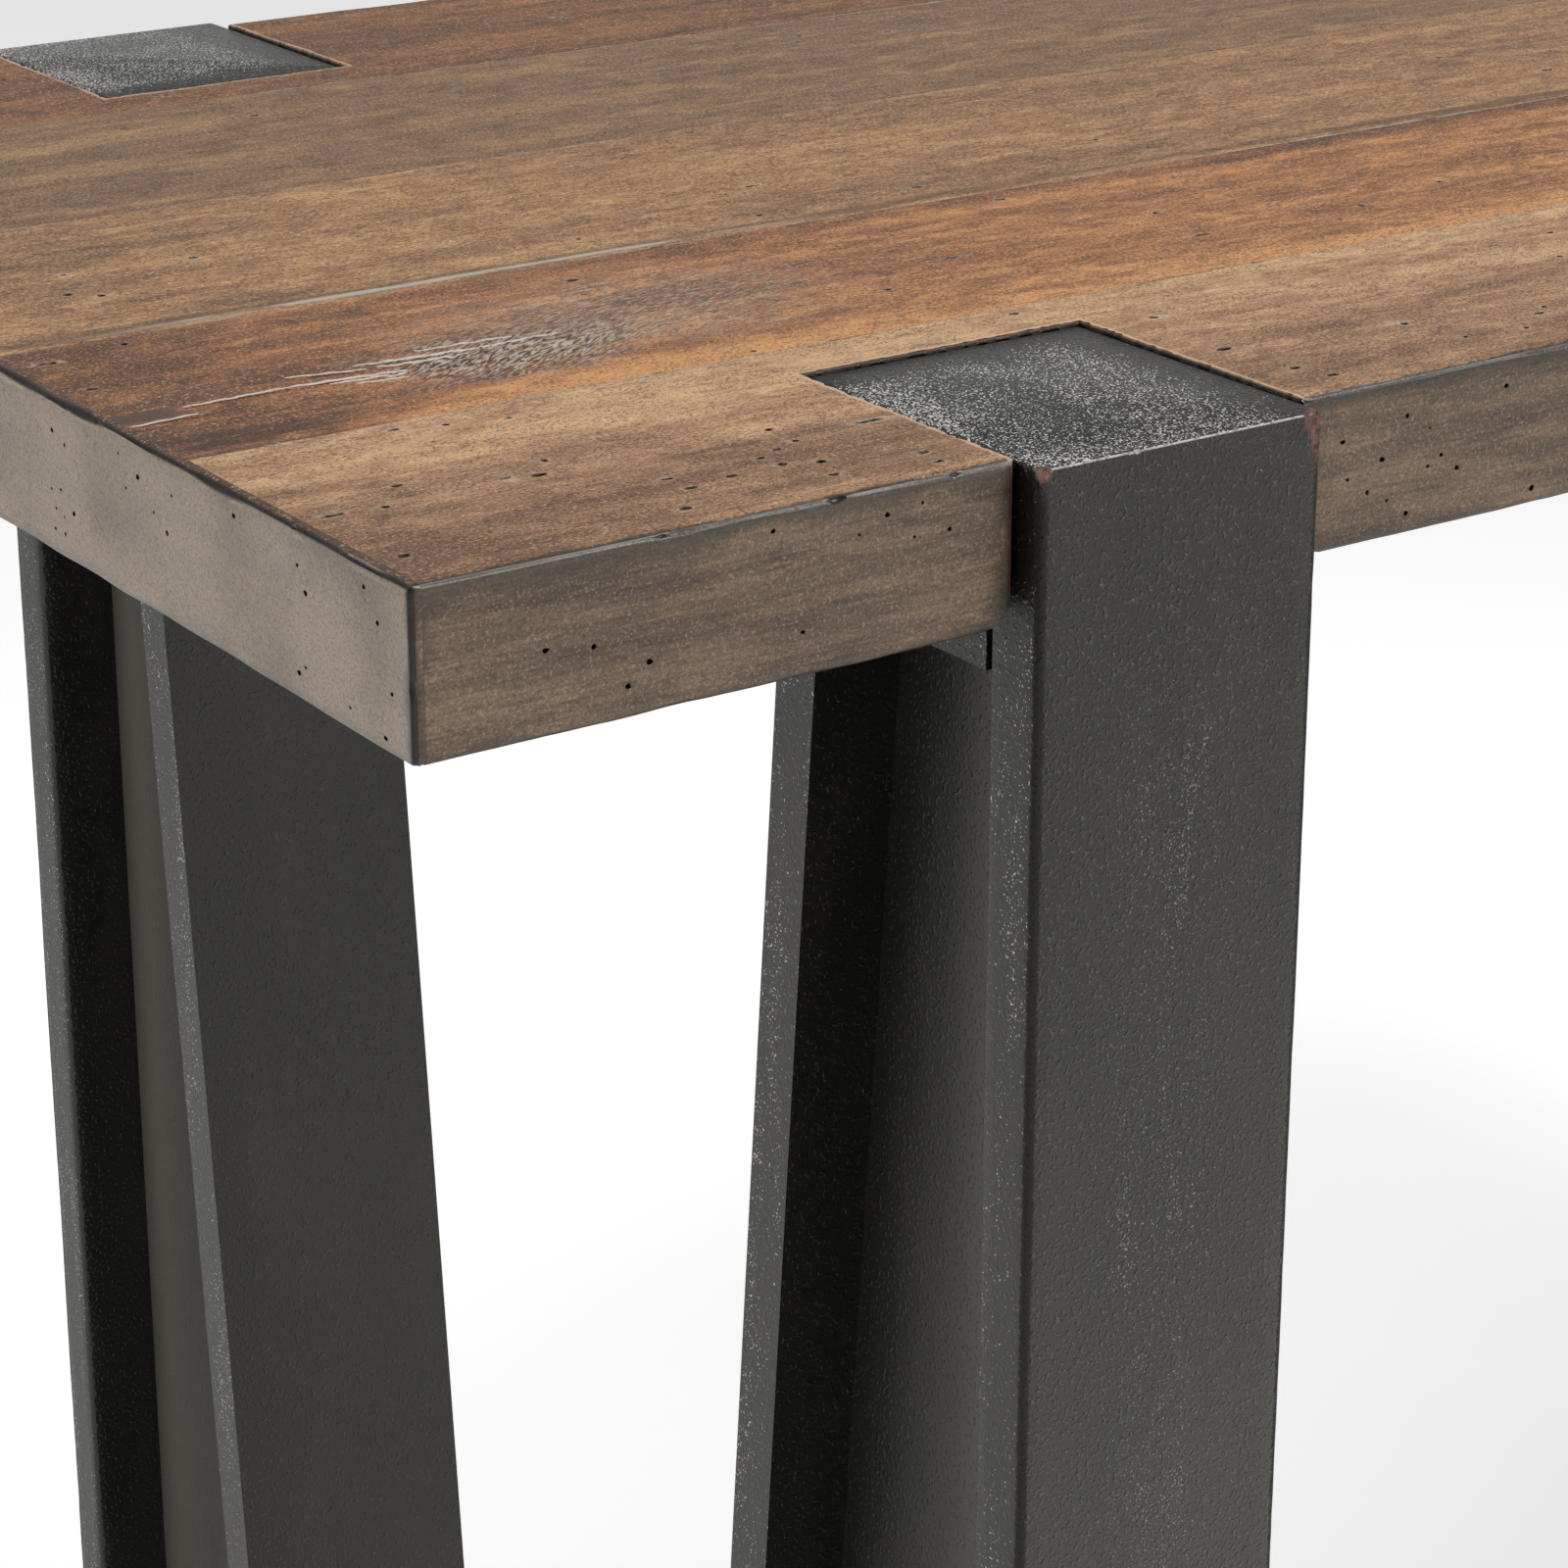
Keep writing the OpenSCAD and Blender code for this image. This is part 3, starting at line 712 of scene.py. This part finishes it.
def sliver_cover(across, back):
    """How strongly the second board's slivers cover each place, from 0 to 1. Places are in mm."""
    cover = np.zeros_like(across)
    for x0, y0, x1, y1, width in SLIVERS:
        t = np.clip((across - x0) / (x1 - x0), 0, 1)
        away_x = across - (x0 + (x1 - x0) * t)
        away_y = back - (y0 + (y1 - y0) * t) - 0.2 * np.sin(across * 0.9 + x0)
        swell = width / 2 * np.sin(np.pi * np.clip(t, 0.03, 0.97)) ** 0.5
        cover = np.maximum(cover, fade(np.hypot(away_x, away_y), swell * 0.5, swell + 0.35))
    return cover


def loft(rings):
    """A closed shape through rings of points of equal length."""
    count = len(rings[0])
    points = [tuple(spot) for ring in rings for spot in ring]
    faces = []
    for k in range(len(rings) - 1):
        for j in range(count):
            n = (j + 1) % count
            faces.append([k * count + j, k * count + n, (k + 1) * count + n, (k + 1) * count + j])
    faces.append(list(range(count))[::-1])
    faces.append([(len(rings) - 1) * count + j for j in range(count)])
    return points, faces


def merged(shapes):
    points, faces = [], []
    for pts, fcs in shapes:
        base = len(points)
        points += list(pts)
        faces += [[base + v for v in face] for face in fcs]
    return points, faces


def pit(centre, normal, along, radius, depth, stretch, rng, count=9):
    """An irregular pit that narrows downward, drawn out along one direction with pointed ends."""
    centre, normal, along = Vector(centre), Vector(normal).normalized(), Vector(along).normalized()
    side = normal.cross(along)
    wobble = 0.8 + 0.4 * rng.random(count)
    rings = []
    for level, shrink in ((1.5 * MM, 1.1), (-0.1 * MM, 1.0), (-depth * 0.6, 0.75), (-depth, 0.3)):
        ring = []
        for k in range(count):
            angle = 2 * math.pi * k / count
            reach = radius * shrink * wobble[k]
            ring.append(centre + normal * level + along * (math.cos(angle) * reach * stretch)
                        + side * (math.sin(angle) * reach))
        rings.append(ring)
    return loft(rings)


def crack(x0, y0, x1, y1, width, rng):
    """A shallow groove with pointed ends and uneven sides between two places on the top."""
    start, stop = from_corner(x0, y0), from_corner(x1, y1)
    steps = max(6, int(abs(x1 - x0) / 2.2))
    left, right = [], []
    for k in range(steps + 1):
        t = k / steps
        swell = math.sin(math.pi * min(max(t, 0.02), 0.98)) ** 0.35 * width / 2 * MM
        x, y = start[0] + (stop[0] - start[0]) * t, start[1] + (stop[1] - start[1]) * t
        wander = 0.22 * MM * (rng.random() - 0.5)
        left.append((x, y + wander + swell * (0.7 + 0.6 * rng.random())))
        right.append((x, y + wander - swell * (0.7 + 0.6 * rng.random())))
    outline = left + right[::-1]
    top, floor = TOP_HI.z + 1.5 * MM, TOP_HI.z - 0.34 * MM
    return loft([[(x, y, top) for x, y in outline], [(x, y, floor) for x, y in outline]])


def in_notch(x, y, margin):
    inside_x = abs(CAP_HI.x) - margin < abs(x) < abs(CAP_LO.x) + margin
    return inside_x and abs(y) > abs(CAP_HI.y) - margin


def apart(spots):
    """The spots that stay clear of every earlier one. Each starts with its centre and ends with its reach."""
    kept = []
    for spot in spots:
        if all((Vector(spot[0]) - Vector(other[0])).length > 1.4 * (spot[-1] + other[-1]) for other in kept):
            kept.append(spot)
    return kept


def scattered(groups, rng):
    """Places of the groups' holes, drawn at random round each group's middle."""
    for first, second, spread, other_spread, count in groups:
        for _ in range(count):
            yield first + rng.normal() * spread, second + rng.normal() * other_spread


def top_spots(lo, hi, rng):
    """Holes on the top of one board, each with its centre, radius, stretch and reach."""
    places = TOP_HOLES + [(a, b, 1.5 + 4.5 * rng.random() ** 2.5) for a, b in scattered(TOP_GROUPS, rng)]
    spots = []
    for across, back, length in places:
        x, y = from_corner(across, back)
        radius = (0.65 + 0.45 * rng.random()) * MM
        stretch = max(1.0, length * MM / 2 / radius)
        reach = radius * stretch
        edge = reach + 1.5 * MM
        on_board = lo.x + edge < x < hi.x - edge and lo.y + edge < y < hi.y - edge
        if on_board and not in_notch(x, y, edge + 1 * MM):
            spots.append(((x, y, hi.z), radius, stretch, reach))
    return apart(spots)


def flat_spots(places, groups, rng, allowed):
    """Holes on an upright face: mm along and mm down, kept where allowed says so."""
    spots = []
    for along, down in list(places) + list(scattered(groups, rng)):
        radius = (0.34 + 0.34 * rng.random()) * MM
        place = allowed(along, down)
        if place is not None:
            spots.append((place, radius, 1 + 0.4 * rng.random(), radius * 1.4))
    return apart(spots)


def hole_cutter(spots, normal, along, depth, rng):
    return merged([pit(c, normal, along, r, depth, stretch, rng) for c, r, stretch, _ in spots])


def mesh_places(obj):
    """The positions of the object's points, one row each."""
    places = np.empty(len(obj.data.vertices) * 3)
    obj.data.vertices.foreach_get("co", places)
    return places.reshape(-1, 3)


def mark(obj, name, value):
    """Stores one number at each point, for the material to read."""
    layer = obj.data.attributes.new(name, "FLOAT", "POINT")
    layer.data.foreach_set("value", value.astype(np.float32))


def mark_halos(obj, spots, along_axis, rng):
    """Notes at the points round each hole how strongly its splintered rim shows."""
    places = mesh_places(obj)
    value = np.zeros(len(places))
    for centre, radius, stretch, reach in spots:
        strength = 0.25 + 0.75 * rng.random()
        away = places - np.array(centre)
        away[:, along_axis] /= stretch * 1.25
        near = np.linalg.norm(away, axis=1) < radius * 1.45
        value[near] = np.maximum(value[near], strength)
    mark(obj, "halo", value)


def edge_chips(start, stop, normal, along, count, sizes, rng):
    """A cutter for chips along an edge: pits that look along the edge's outward normal."""
    chips = []
    for _ in range(count):
        centre = tuple(Vector(start).lerp(Vector(stop), rng.random()))
        radius = (sizes[0] + (sizes[1] - sizes[0]) * rng.random() ** 2) * MM
        stretch = 1 + 2 * rng.random()
        chips.append((centre, radius, stretch, radius * stretch))
    pits = [pit(c, normal, along, r, r * 0.8, s, rng) for c, r, s, _ in apart(chips)]
    return new_object("cutter_chips", *merged(pits))


# ---- Boards ----

def board_shape(index):
    """How far the surface of a board moves out at each point."""
    seed = 100 * (index + 1)

    def shape(points, normals):
        x, y, z = points[..., 0], points[..., 1], points[..., 2]
        move = 0.10 * MM * lattice_noise(x, y + z, 60 * MM, seed)
        move = move + 0.05 * MM * lattice_noise(x, y + z, 14 * MM, seed + 1)
        if index == 1:
            across, back = (x - CORNER.x) / MM, (y - CORNER.y) / MM
            turn = math.radians(STROKE_TURN)
            along = x * math.cos(turn) - y * math.sin(turn)
            aside = x * math.sin(turn) + y * math.cos(turn)
            away_x = (across - PATCH_PLACE[0]) / PATCH_HALF[0]
            away_y = (back - PATCH_PLACE[1]) / PATCH_HALF[1]
            away = np.hypot(away_x, away_y) + 0.35 * rough_noise(x / 3, y, 5 * MM, 7)
            strokes = rough_noise(along / 4.0, aside, 1.2 * MM, 8, 2)
            on_top = normals[..., 2] > 0.9
            move = move + fade(away, 0.5, 1.2) * on_top * 0.42 * MM * (strokes - 0.25)
            move = move + on_top * 0.24 * MM * sliver_cover(across, back)
        outer = (np.abs(normals[..., 1]) > 0.1) & (np.abs(normals[..., 2]) > 0.1)
        dents = np.clip(rough_noise(x, y * 0, 16 * MM, seed + 3), 0, 1)
        dents = dents + 0.4 * rough_noise(x, y * 0, 4 * MM, seed + 5)
        return move - outer * 0.30 * MM * np.clip(dents, 0, 1)

    return shape


def build_board(index, material, slot):
    node = BOARDS[index]
    lo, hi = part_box(node)
    rng = np.random.default_rng(400 + index)
    eased, seam = 2.1 * MM, 0.35 * MM
    front_edge = eased if index == 0 else seam
    rear_edge = eased if index == 4 else seam
    stations = spaced(lo.x, hi.x, 3 * MM)
    across = 36
    if index == 1:  # finer under the patch, the slivers and the cracks
        fine_from, fine_to = from_corner(5, 0)[0], from_corner(146, 0)[0]
        stations = joined(spaced(lo.x, fine_from, 3 * MM), spaced(fine_from, fine_to, 0.5 * MM),
                          spaced(fine_to, hi.x, 4 * MM))
        width = hi.y - lo.y
        across = joined(spaced(2 * MM, 10 * MM, 2 * MM), spaced(10 * MM, 56 * MM, 0.45 * MM),
                        spaced(56 * MM, width - 2 * MM, 2.5 * MM)) / width
        across = [1 - t for t in across[::-1]]
    worn = 1 + 0.3 * lattice_noise(stations, stations * 0, 22 * MM, 5 + index)
    flats = {"v_hi": across, "v_lo": 8, "u_lo": 12 if index == 0 else 2, "u_hi": 12 if index == 4 else 2}
    radii = [front_edge * 0.7 * worn, rear_edge * 0.7 * worn, rear_edge * worn, front_edge * worn]
    points, faces = rounded_bar(lo, hi, "x", stations, flats, radii, shape=board_shape(index))
    obj = new_object(node + "_wood", points, faces)

    spots = top_spots(lo, hi, rng)
    shapes = [hole_cutter(spots, (0, 0, 1), (1, 0, 0), 2.4 * MM, rng)]
    edge_spots = []
    if index in (0, 4):
        facing, edge_y = (-1, lo.y) if index == 0 else (1, hi.y)

        def allowed(along, down):
            x, z = CORNER.x + along * MM, TOP_HI.z - down * MM
            inside = lo.x + 3 * MM < x < hi.x - 3 * MM and lo.z + 2.5 * MM < z < hi.z - 3.5 * MM
            return (x, edge_y, z) if inside and not in_notch(x, edge_y, 4 * MM) else None

        edge_spots = flat_spots(FRONT_HOLES if index == 0 else [], SIDE_GROUPS, rng, allowed)
        shapes.append(hole_cutter(edge_spots, (0, facing, 0), (1, 0, 0), 2.2 * MM, rng))
    cutters = [new_object("cutter_holes", *merged(shapes))]
    if index == 1:
        for few in (CRACKS[::2], CRACKS[1::2]):
            cutters.append(new_object("cutter_cracks", *merged([crack(*c, rng) for c in few])))
    if index in (0, 4):
        cutters.append(edge_chips((lo.x, edge_y, hi.z), (hi.x, edge_y, hi.z), (0, facing, 1), (1, 0, 0),
                                  26, (0.7, 2.1), rng))
        cutters += notch_cutters(index)
    cut(obj, cutters)
    mark_halos(obj, spots, 0, rng)
    if index == 1:
        places = mesh_places(obj)
        mark(obj, "pale", sliver_cover((places[:, 0] - CORNER.x) / MM, (places[:, 1] - CORNER.y) / MM))
    return finish_piece(obj, material, slot, node)


def build_strip(side, material, slot):
    node = "end_strip_" + side
    lo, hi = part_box(node)
    rng = np.random.default_rng(500 + len(side))
    outer_lo = side == "left"
    stations = spaced(lo.y, hi.y, 2.5 * MM)
    eased, tight, corner = 1.5 * MM, 0.15 * MM, 1.4 * MM
    worn = 1 + 0.4 * lattice_noise(with_end_stations(list(stations), corner), 0, 16 * MM, 61)
    outer = 0 if outer_lo else 1
    radii = [tight] * 4
    radii[outer], radii[3 - outer] = eased * 0.8 * worn, eased * worn
    end_sides = ["v_lo", "v_hi", "u_lo" if outer_lo else "u_hi"]
    flats = {"v_lo": 1, "v_hi": 1, "u_lo": 14, "u_hi": 14}

    def shape(pts, normals):
        y, z = pts[..., 1], pts[..., 2]
        out = (normals[..., 0] < 0) if outer_lo else (normals[..., 0] > 0)
        on_arris = (normals[..., 2] > 0.2) * (normals[..., 2] < 0.95)
        wave = 0.45 * MM * rough_noise(y, z * 0, 34 * MM, 71) * on_arris
        return out * (wave - 0.28 * MM + 0.10 * MM * lattice_noise(y, z, 20 * MM, 72))

    points, faces = rounded_bar(lo, hi, "y", stations, flats, radii, corner, end_sides, shape)
    obj = new_object(node + "_wood", points, faces)
    face_x, facing = (lo.x, -1) if outer_lo else (hi.x, 1)

    def allowed(along, down):
        y, z = CORNER.y + along * MM, TOP_HI.z - down * MM
        inside = lo.y + 3.5 * MM < y < hi.y - 3.5 * MM and lo.z + 2.5 * MM < z < hi.z - 3 * MM
        return (face_x, y, z) if inside else None

    depth = round((hi.y - lo.y) / MM)
    holes = END_HOLES if outer_lo else [(depth - a, d) for a, d in END_HOLES]
    spots = flat_spots(holes, END_GROUPS, rng, allowed)
    cutters = [new_object("cutter_end_holes", *hole_cutter(spots, (facing, 0, 0), (0, 1, 0), 1.9 * MM, rng))]
    cutters.append(edge_chips((face_x, lo.y + 6 * MM, hi.z), (face_x, hi.y - 6 * MM, hi.z),
                              (facing, 0, 1), (0, 1, 0), 30, (0.7, 1.5), rng))
    for edge_y, turn in ((lo.y, -1), (hi.y, 1)):
        cutters.append(edge_chips((face_x, edge_y, lo.z + 2 * MM), (face_x, edge_y, hi.z - 2 * MM),
                                  (facing, turn, 0), (0, 0, 1), 9, (1.0, 1.7), rng))
    cut(obj, cutters)
    mark_halos(obj, [], 1, rng)
    return finish_piece(obj, material, slot, node)


# ---- Notches ----

def dense_loop(corners, step):
    """The outline through the corners, with points no further apart than step."""
    loop = []
    for (x0, y0), (x1, y1) in zip(corners, corners[1:] + corners[:1]):
        count = max(1, int(math.hypot(x1 - x0, y1 - y0) / step))
        loop += [(x0 + (x1 - x0) * k / count, y0 + (y1 - y0) * k / count) for k in range(count)]
    return loop


# How far the wood's lower corners beside a notch are rounded, how far the slots flare at the front, and
# how far cutters reach past the wood
LOWER_ROUND = 9 * MM
FLARE = 1.6 * MM
PAST = 3 * MM


def rounding(radius, steps):
    """Steps across and up along the quarter circle that rounds a corner, from its foot."""
    angles = [math.pi / 2 * k / steps for k in range(steps + 1)]
    return [(radius * (1 - math.sin(a)), radius * (1 - math.cos(a))) for a in angles]


def notch_cutters(index):
    """Cutters for the slots and the chipped pockets of one edge board."""
    turn_y = 1 if index == 0 else -1
    slots, pockets, corners = [], [], []
    slot_back = abs(FLANGE_LO.y) - (FLANGE_HI.y - FLANGE_LO.y) - NOTCH_GAP
    edge_y = abs(TOP_LO.y)
    near_x, far_x = abs(CAP_LO.x) + NOTCH_GAP, abs(CAP_HI.x) - NOTCH_GAP
    pocket_back = abs(CAP_HI.y) - NOTCH_GAP
    middle_x, half = (near_x + far_x) / 2, (near_x - far_x) / 2
    mouth = [(near_x + FLARE, edge_y + PAST)]
    mouth += [(near_x + across, edge_y - back) for across, back in rounding(FLARE, 4)]
    mirror = [(2 * middle_x - x, y) for x, y in reversed(mouth)]
    for side in (-1, 1):
        outline = mouth + [(near_x, slot_back), (far_x, slot_back)] + mirror
        outline = [(side * x, -turn_y * y) for x, y in outline]
        slots.append(loft([[(x, y, z) for x, y in outline] for z in (TOP_LO.z - 2 * MM, TOP_HI.z + 2 * MM)]))
        loop = dense_loop([(far_x, edge_y + PAST), (near_x, edge_y + PAST),
                           (near_x, pocket_back), (far_x, pocket_back)], 1.3 * MM)
        rng = np.random.default_rng(900 + index * 10 + side)
        ragged = []
        for x, y in loop:
            out = 0.12 * MM + 0.8 * MM * rng.random() ** 3
            on_side = abs(abs(x - middle_x) - half) < 0.01 * MM
            on_back = abs(y - pocket_back) < 0.01 * MM
            ragged.append((x + math.copysign(out, x - middle_x) * on_side, y - out * on_back))
        rings = [(loop, CAP_LO.z - 0.3 * MM), (loop, TOP_HI.z - 0.75 * MM),
                 (ragged, TOP_HI.z - 0.45 * MM), (ragged, TOP_HI.z + 2 * MM)]
        pockets.append(loft([[(side * x, -turn_y * y, z) for x, y in ring] for ring, z in rings]))
        for mirrored in (False, True):
            profile = [(near_x - 1 * MM, TOP_LO.z - 1 * MM), (near_x + LOWER_ROUND, TOP_LO.z - 1 * MM)]
            profile += [(near_x + across, TOP_LO.z + up) for across, up in rounding(LOWER_ROUND, 8)]
            profile.append((near_x - 1 * MM, TOP_LO.z + LOWER_ROUND))
            if mirrored:
                profile = [(2 * middle_x - x, z) for x, z in profile]
            corners.append(loft([[(side * x, -turn_y * y, z) for x, z in profile]
                                 for y in (edge_y + PAST, slot_back - 1 * MM)]))
    return [new_object("cutter_slots", *merged(slots)), new_object("cutter_pockets", *merged(pockets)),
            new_object("cutter_lower_corners", *merged(corners))]


# ---- Leg steel ----

# Radius of the upright edges of the outer flanges and cap plates
STEEL_ROUND = 1.5 * MM


def steel_shape(points, normals):
    """Slight unevenness of rolled and ground steel, the same wherever two pieces meet."""
    x, y, z = points[..., 0], points[..., 1], points[..., 2]
    on_edge = np.abs(normals).max(-1) < 0.98
    dents = on_edge * 0.16 * MM * np.clip(rough_noise(x + y, z, 5 * MM, 22), 0, 1)
    return 0.10 * MM * lattice_noise(x + y, z, 45 * MM, 21) - dents


def leg_turns(leg):
    """Which way out is along X and Y for a leg: -1 or 1 each."""
    return (-1 if "left" in leg else 1), (-1 if "front" in leg else 1)


def build_outer_flange(leg, material):
    node = leg + "_outer_flange"
    lo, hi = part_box(node)
    flats = {"v_lo": 14, "v_hi": 14, "u_lo": 3, "u_hi": 3}
    stations = spaced(lo.z, hi.z, 5 * MM)
    points, faces = rounded_bar(lo, hi, "z", stations, flats, [STEEL_ROUND] * 4, shape=steel_shape)
    return finish_piece(new_object(node + "_steel", points, faces), material, "leg_paint", node)


def build_cap(leg, material):
    """The plate on top of a leg, with a dent in its outer edge and a broken corner."""
    node = leg + "_cap_plate"
    lo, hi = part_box(node)
    out_x, out_y = leg_turns(leg)
    rng = np.random.default_rng(700 + LEGS.index(leg))
    radius = 1.1 * MM
    curve = hi.z - radius + radius * np.sin(np.linspace(0, math.pi / 2, 5))
    stations = joined(np.array([lo.z, lo.z + 1.5 * MM]), curve)
    drop = np.clip(stations - (hi.z - radius), 0, radius)
    inset = radius - np.sqrt(radius**2 - drop**2)

    def shape(points, normals):
        return steel_shape(points, normals) - inset[:, None]

    flats = {"v_lo": 40, "v_hi": 40, "u_lo": 40, "u_hi": 40}
    points, faces = rounded_bar(lo, hi, "z", stations, flats, [STEEL_ROUND] * 4, shape=shape)
    obj = new_object(node + "_steel", points, faces)
    edge_y = lo.y if out_y < 0 else hi.y
    corner_x = lo.x if out_x < 0 else hi.x
    dent_place = (corner_x - out_x * 24 * MM, edge_y, hi.z)
    dent = pit(dent_place, (0, out_y, 1), (1, 0, 0), 1.4 * MM, 0.9 * MM, 2.2, rng)
    chip_place = (corner_x, edge_y, hi.z)
    chip = pit(chip_place, (out_x, out_y * 0.7, 1.0), (out_x, -out_y, 0), 3.0 * MM, 1.3 * MM, 1.3, rng, 13)
    cut(obj, [new_object("cutter_dent", *merged([dent, chip]))])
    return finish_piece(obj, material, "leg_paint", node, sharp=50)


def weld_bead(start, stop, first, second, size, rng):
    """A rippled fillet along a corner: it bulges between the two faces whose directions are given."""
    start, stop, first, second = Vector(start), Vector(stop), Vector(first), Vector(second)
    length = (stop - start).length
    steps = max(8, int(length / (0.8 * MM)))
    rings = []
    for k in range(steps + 1):
        t = k / steps
        ends = min(1.0, (0.15 + min(t, 1 - t) * length / (3 * MM)))
        ripple = 1 + 0.07 * math.sin(2 * math.pi * t * length / (2.6 * MM)) + 0.05 * (rng.random() - 0.5)
        reach = size * ends * ripple
        spot = start.lerp(stop, t)
        bury = 0.4 * MM
        ring = [spot - first * bury - second * bury]
        for j in range(5):
            angle = math.pi / 2 * j / 4
            ring.append(spot + first * (reach * math.cos(angle) - bury * (j == 4))
                        + second * (reach * math.sin(angle) - bury * (j == 0)))
        rings.append(ring)
    return loft(rings)


def build_welds(leg, material):
    """Weld beads where the web meets the mounting plate and the foot plate."""
    out_x, out_y = leg_turns(leg)
    rng = np.random.default_rng(800 + LEGS.index(leg))
    web_lo, web_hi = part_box(leg + "_web")
    flange_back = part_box(leg + "_outer_flange")[1 if out_y < 0 else 0].y
    under_top, over_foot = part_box(leg + "_mount_plate")[0].z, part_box(leg + "_foot_plate")[1].z
    shapes = []
    for face_x, turn in ((web_lo.x, -1), (web_hi.x, 1)):
        for level, up in ((under_top, -1), (over_foot, 1)):
            reach = [flange_back - out_y * 6 * MM, flange_back - out_y * 58 * MM]
            shapes.append(weld_bead((face_x, reach[0], level), (face_x, reach[1], level),
                                    (turn, 0, 0), (0, 0, up), 2.8 * MM, rng))
    obj = new_object(leg + "_weld_beads", *merged(shapes))
    return finish_piece(obj, material, "leg_paint", sharp=60)


def dress_node(node, material, width):
    """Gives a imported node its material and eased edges. Its shape stays as it is."""
    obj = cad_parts[node]
    obj.data.materials.clear()
    obj.data.materials.append(material)
    if width:
        bevel = obj.modifiers.new("eased edges", "BEVEL")
        bevel.width, bevel.segments = width, 3
        bevel.limit_method, bevel.angle_limit = "ANGLE", math.radians(40)
        bevel.harden_normals = True


# ---- Light, floor and camera ----

FLOOR_REACH = 30.0
# What the lights point at, and each light's place, width and height, and watts
LIGHT_AIM = Vector((-0.45, -0.15, 0.7))
LIGHTS = {
    "overhead": ((-0.7, 0.4, 2.9), (2.2, 2.0), 16),
    "left_key": ((-2.5, 0.7, 1.5), (1.3, 1.5), 21),
    "edge_light": ((0.75, -0.95, 2.40), (0.7, 0.45), 26),
    "front_fill": ((0.9, -2.9, 1.3), (1.6, 1.4), 16),
}
# Where the camera stands, and in degrees how far it turns from the back to the right and tilts down
CAMERA_PLACE, CAMERA_TURN_TILT = (-0.997, -0.905, 1.016), (34.56, 19.02)
# How bright the world is at heights from the horizon, 0, to straight up, 1
WORLD_SHADES = [(0.0, 0.95), (0.10, 0.85), (0.24, 0.20), (1.0, 0.45)]


def area_light(name, place, size, power):
    data = bpy.data.lights.new(name, "AREA")
    data.shape = "RECTANGLE"
    data.size, data.size_y = size
    data.energy = power
    obj = bpy.data.objects.new(name, data)
    obj.location = place
    obj.rotation_euler = (LIGHT_AIM - Vector(place)).to_track_quat("-Z", "Y").to_euler()
    obj.visible_camera = False
    bpy.context.scene.collection.objects.link(obj)


def build_world():
    """A pale horizon that darkens upward, so that glossy paint has something to reflect."""
    world = bpy.data.worlds.new("studio")
    nodes = Nodes(world)
    height = nodes.size(nodes.axes(nodes.add("TexCoord").outputs["Generated"])[2])
    shade = nodes.ramp(height, *[(place, grey(value)) for place, value in WORLD_SHADES])
    nodes.join(shade, world.node_tree.nodes["Background"].inputs["Color"])
    bpy.context.scene.world = world


def build_studio():
    mesh = bpy.data.meshes.new("floor")
    corners = [(-1, -1), (1, -1), (1, 1), (-1, 1)]
    mesh.from_pydata([(x * FLOOR_REACH, y * FLOOR_REACH, 0) for x, y in corners], [], [[0, 1, 2, 3]])
    floor = bpy.data.objects.new("floor", mesh)
    mesh.materials.append(floor_paint("floor_paint"))
    bpy.context.scene.collection.objects.link(floor)
    build_world()
    for name, (place, size, power) in LIGHTS.items():
        area_light(name, place, size, power)
    view = bpy.context.scene.view_settings
    view.view_transform, view.look, view.exposure = "Standard", "None", 0.0


def build_camera():
    data = bpy.data.cameras.new("camera")
    data.lens, data.sensor_width, data.shift_y = 95.2, 36.0, -0.12
    data.clip_start, data.clip_end = 0.01, 100
    obj = bpy.data.objects.new("camera", data)
    obj.location = CAMERA_PLACE
    turn, tilt = [math.radians(d) for d in CAMERA_TURN_TILT]
    ahead = Vector((math.sin(turn) * math.cos(tilt), math.cos(turn) * math.cos(tilt), -math.sin(tilt)))
    obj.rotation_euler = ahead.to_track_quat("-Z", "Y").to_euler()
    bpy.context.scene.collection.objects.link(obj)
    bpy.context.scene.camera = obj


# ---- Everything together ----

build_studio()
build_camera()

golden = wood("wood_golden", 1, ("#6f503a", "#9f785a", "#cba47b"), front_gradient)
red_brown = wood("wood_red_brown", 20, ("#5c3826", "#96623d", "#c88f5a"), second_gradient, second_features)
olive = wood("wood_olive", 40, ("#6a4d37", "#98704e", "#bd9466"), None, middle_features)
golden_rear = wood("wood_golden_rear", 60, ("#5a4331", "#7f6047", "#a1805a"))
red_rear = wood("wood_red_rear", 80, ("#4a3022", "#774e34", "#9c6c48"))
end_wood = wood("wood_end_strip", 10, ("#33271f", "#4a372a", "#644a38"))
hammered = steel_paint("hammered_paint", 1.2)

for index, (material, slot) in enumerate(zip(
        (golden, red_brown, olive, golden_rear, red_rear),
        ("wood_golden", "wood_red_brown", "wood_olive", "wood_golden", "wood_red_brown"))):
    build_board(index, material, slot)
for side in ("left", "right"):
    build_strip(side, end_wood, "wood_edge")
inner_wood = wood("wood_inner", 90, ("#a5855a", "#b89a6c", "#cbb083"))
for seam in range(1, 5):
    dress_node(f"seam_tongue_{seam}", inner_wood, 0)
for leg in LEGS:
    build_outer_flange(leg, hammered)
    build_cap(leg, hammered)
    build_welds(leg, hammered)
    for part, width in (("inner_flange", 1.2), ("web", 0), ("mount_plate", 0.6), ("foot_plate", 0.8)):
        dress_node(leg + "_" + part, hammered, width * MM)
zinc = metal("zinc_plate", "#a8a8a4", 0.35)
dress_node("leg_bolts", zinc, 0.25 * MM)
dress_node("bolt_washers", zinc, 0.2 * MM)
dress_node("threaded_inserts", metal("insert_brass", "#b08d3e", 0.35), 0)
dress_node("floor_glides", rubber("glide_rubber"), 0.3 * MM)
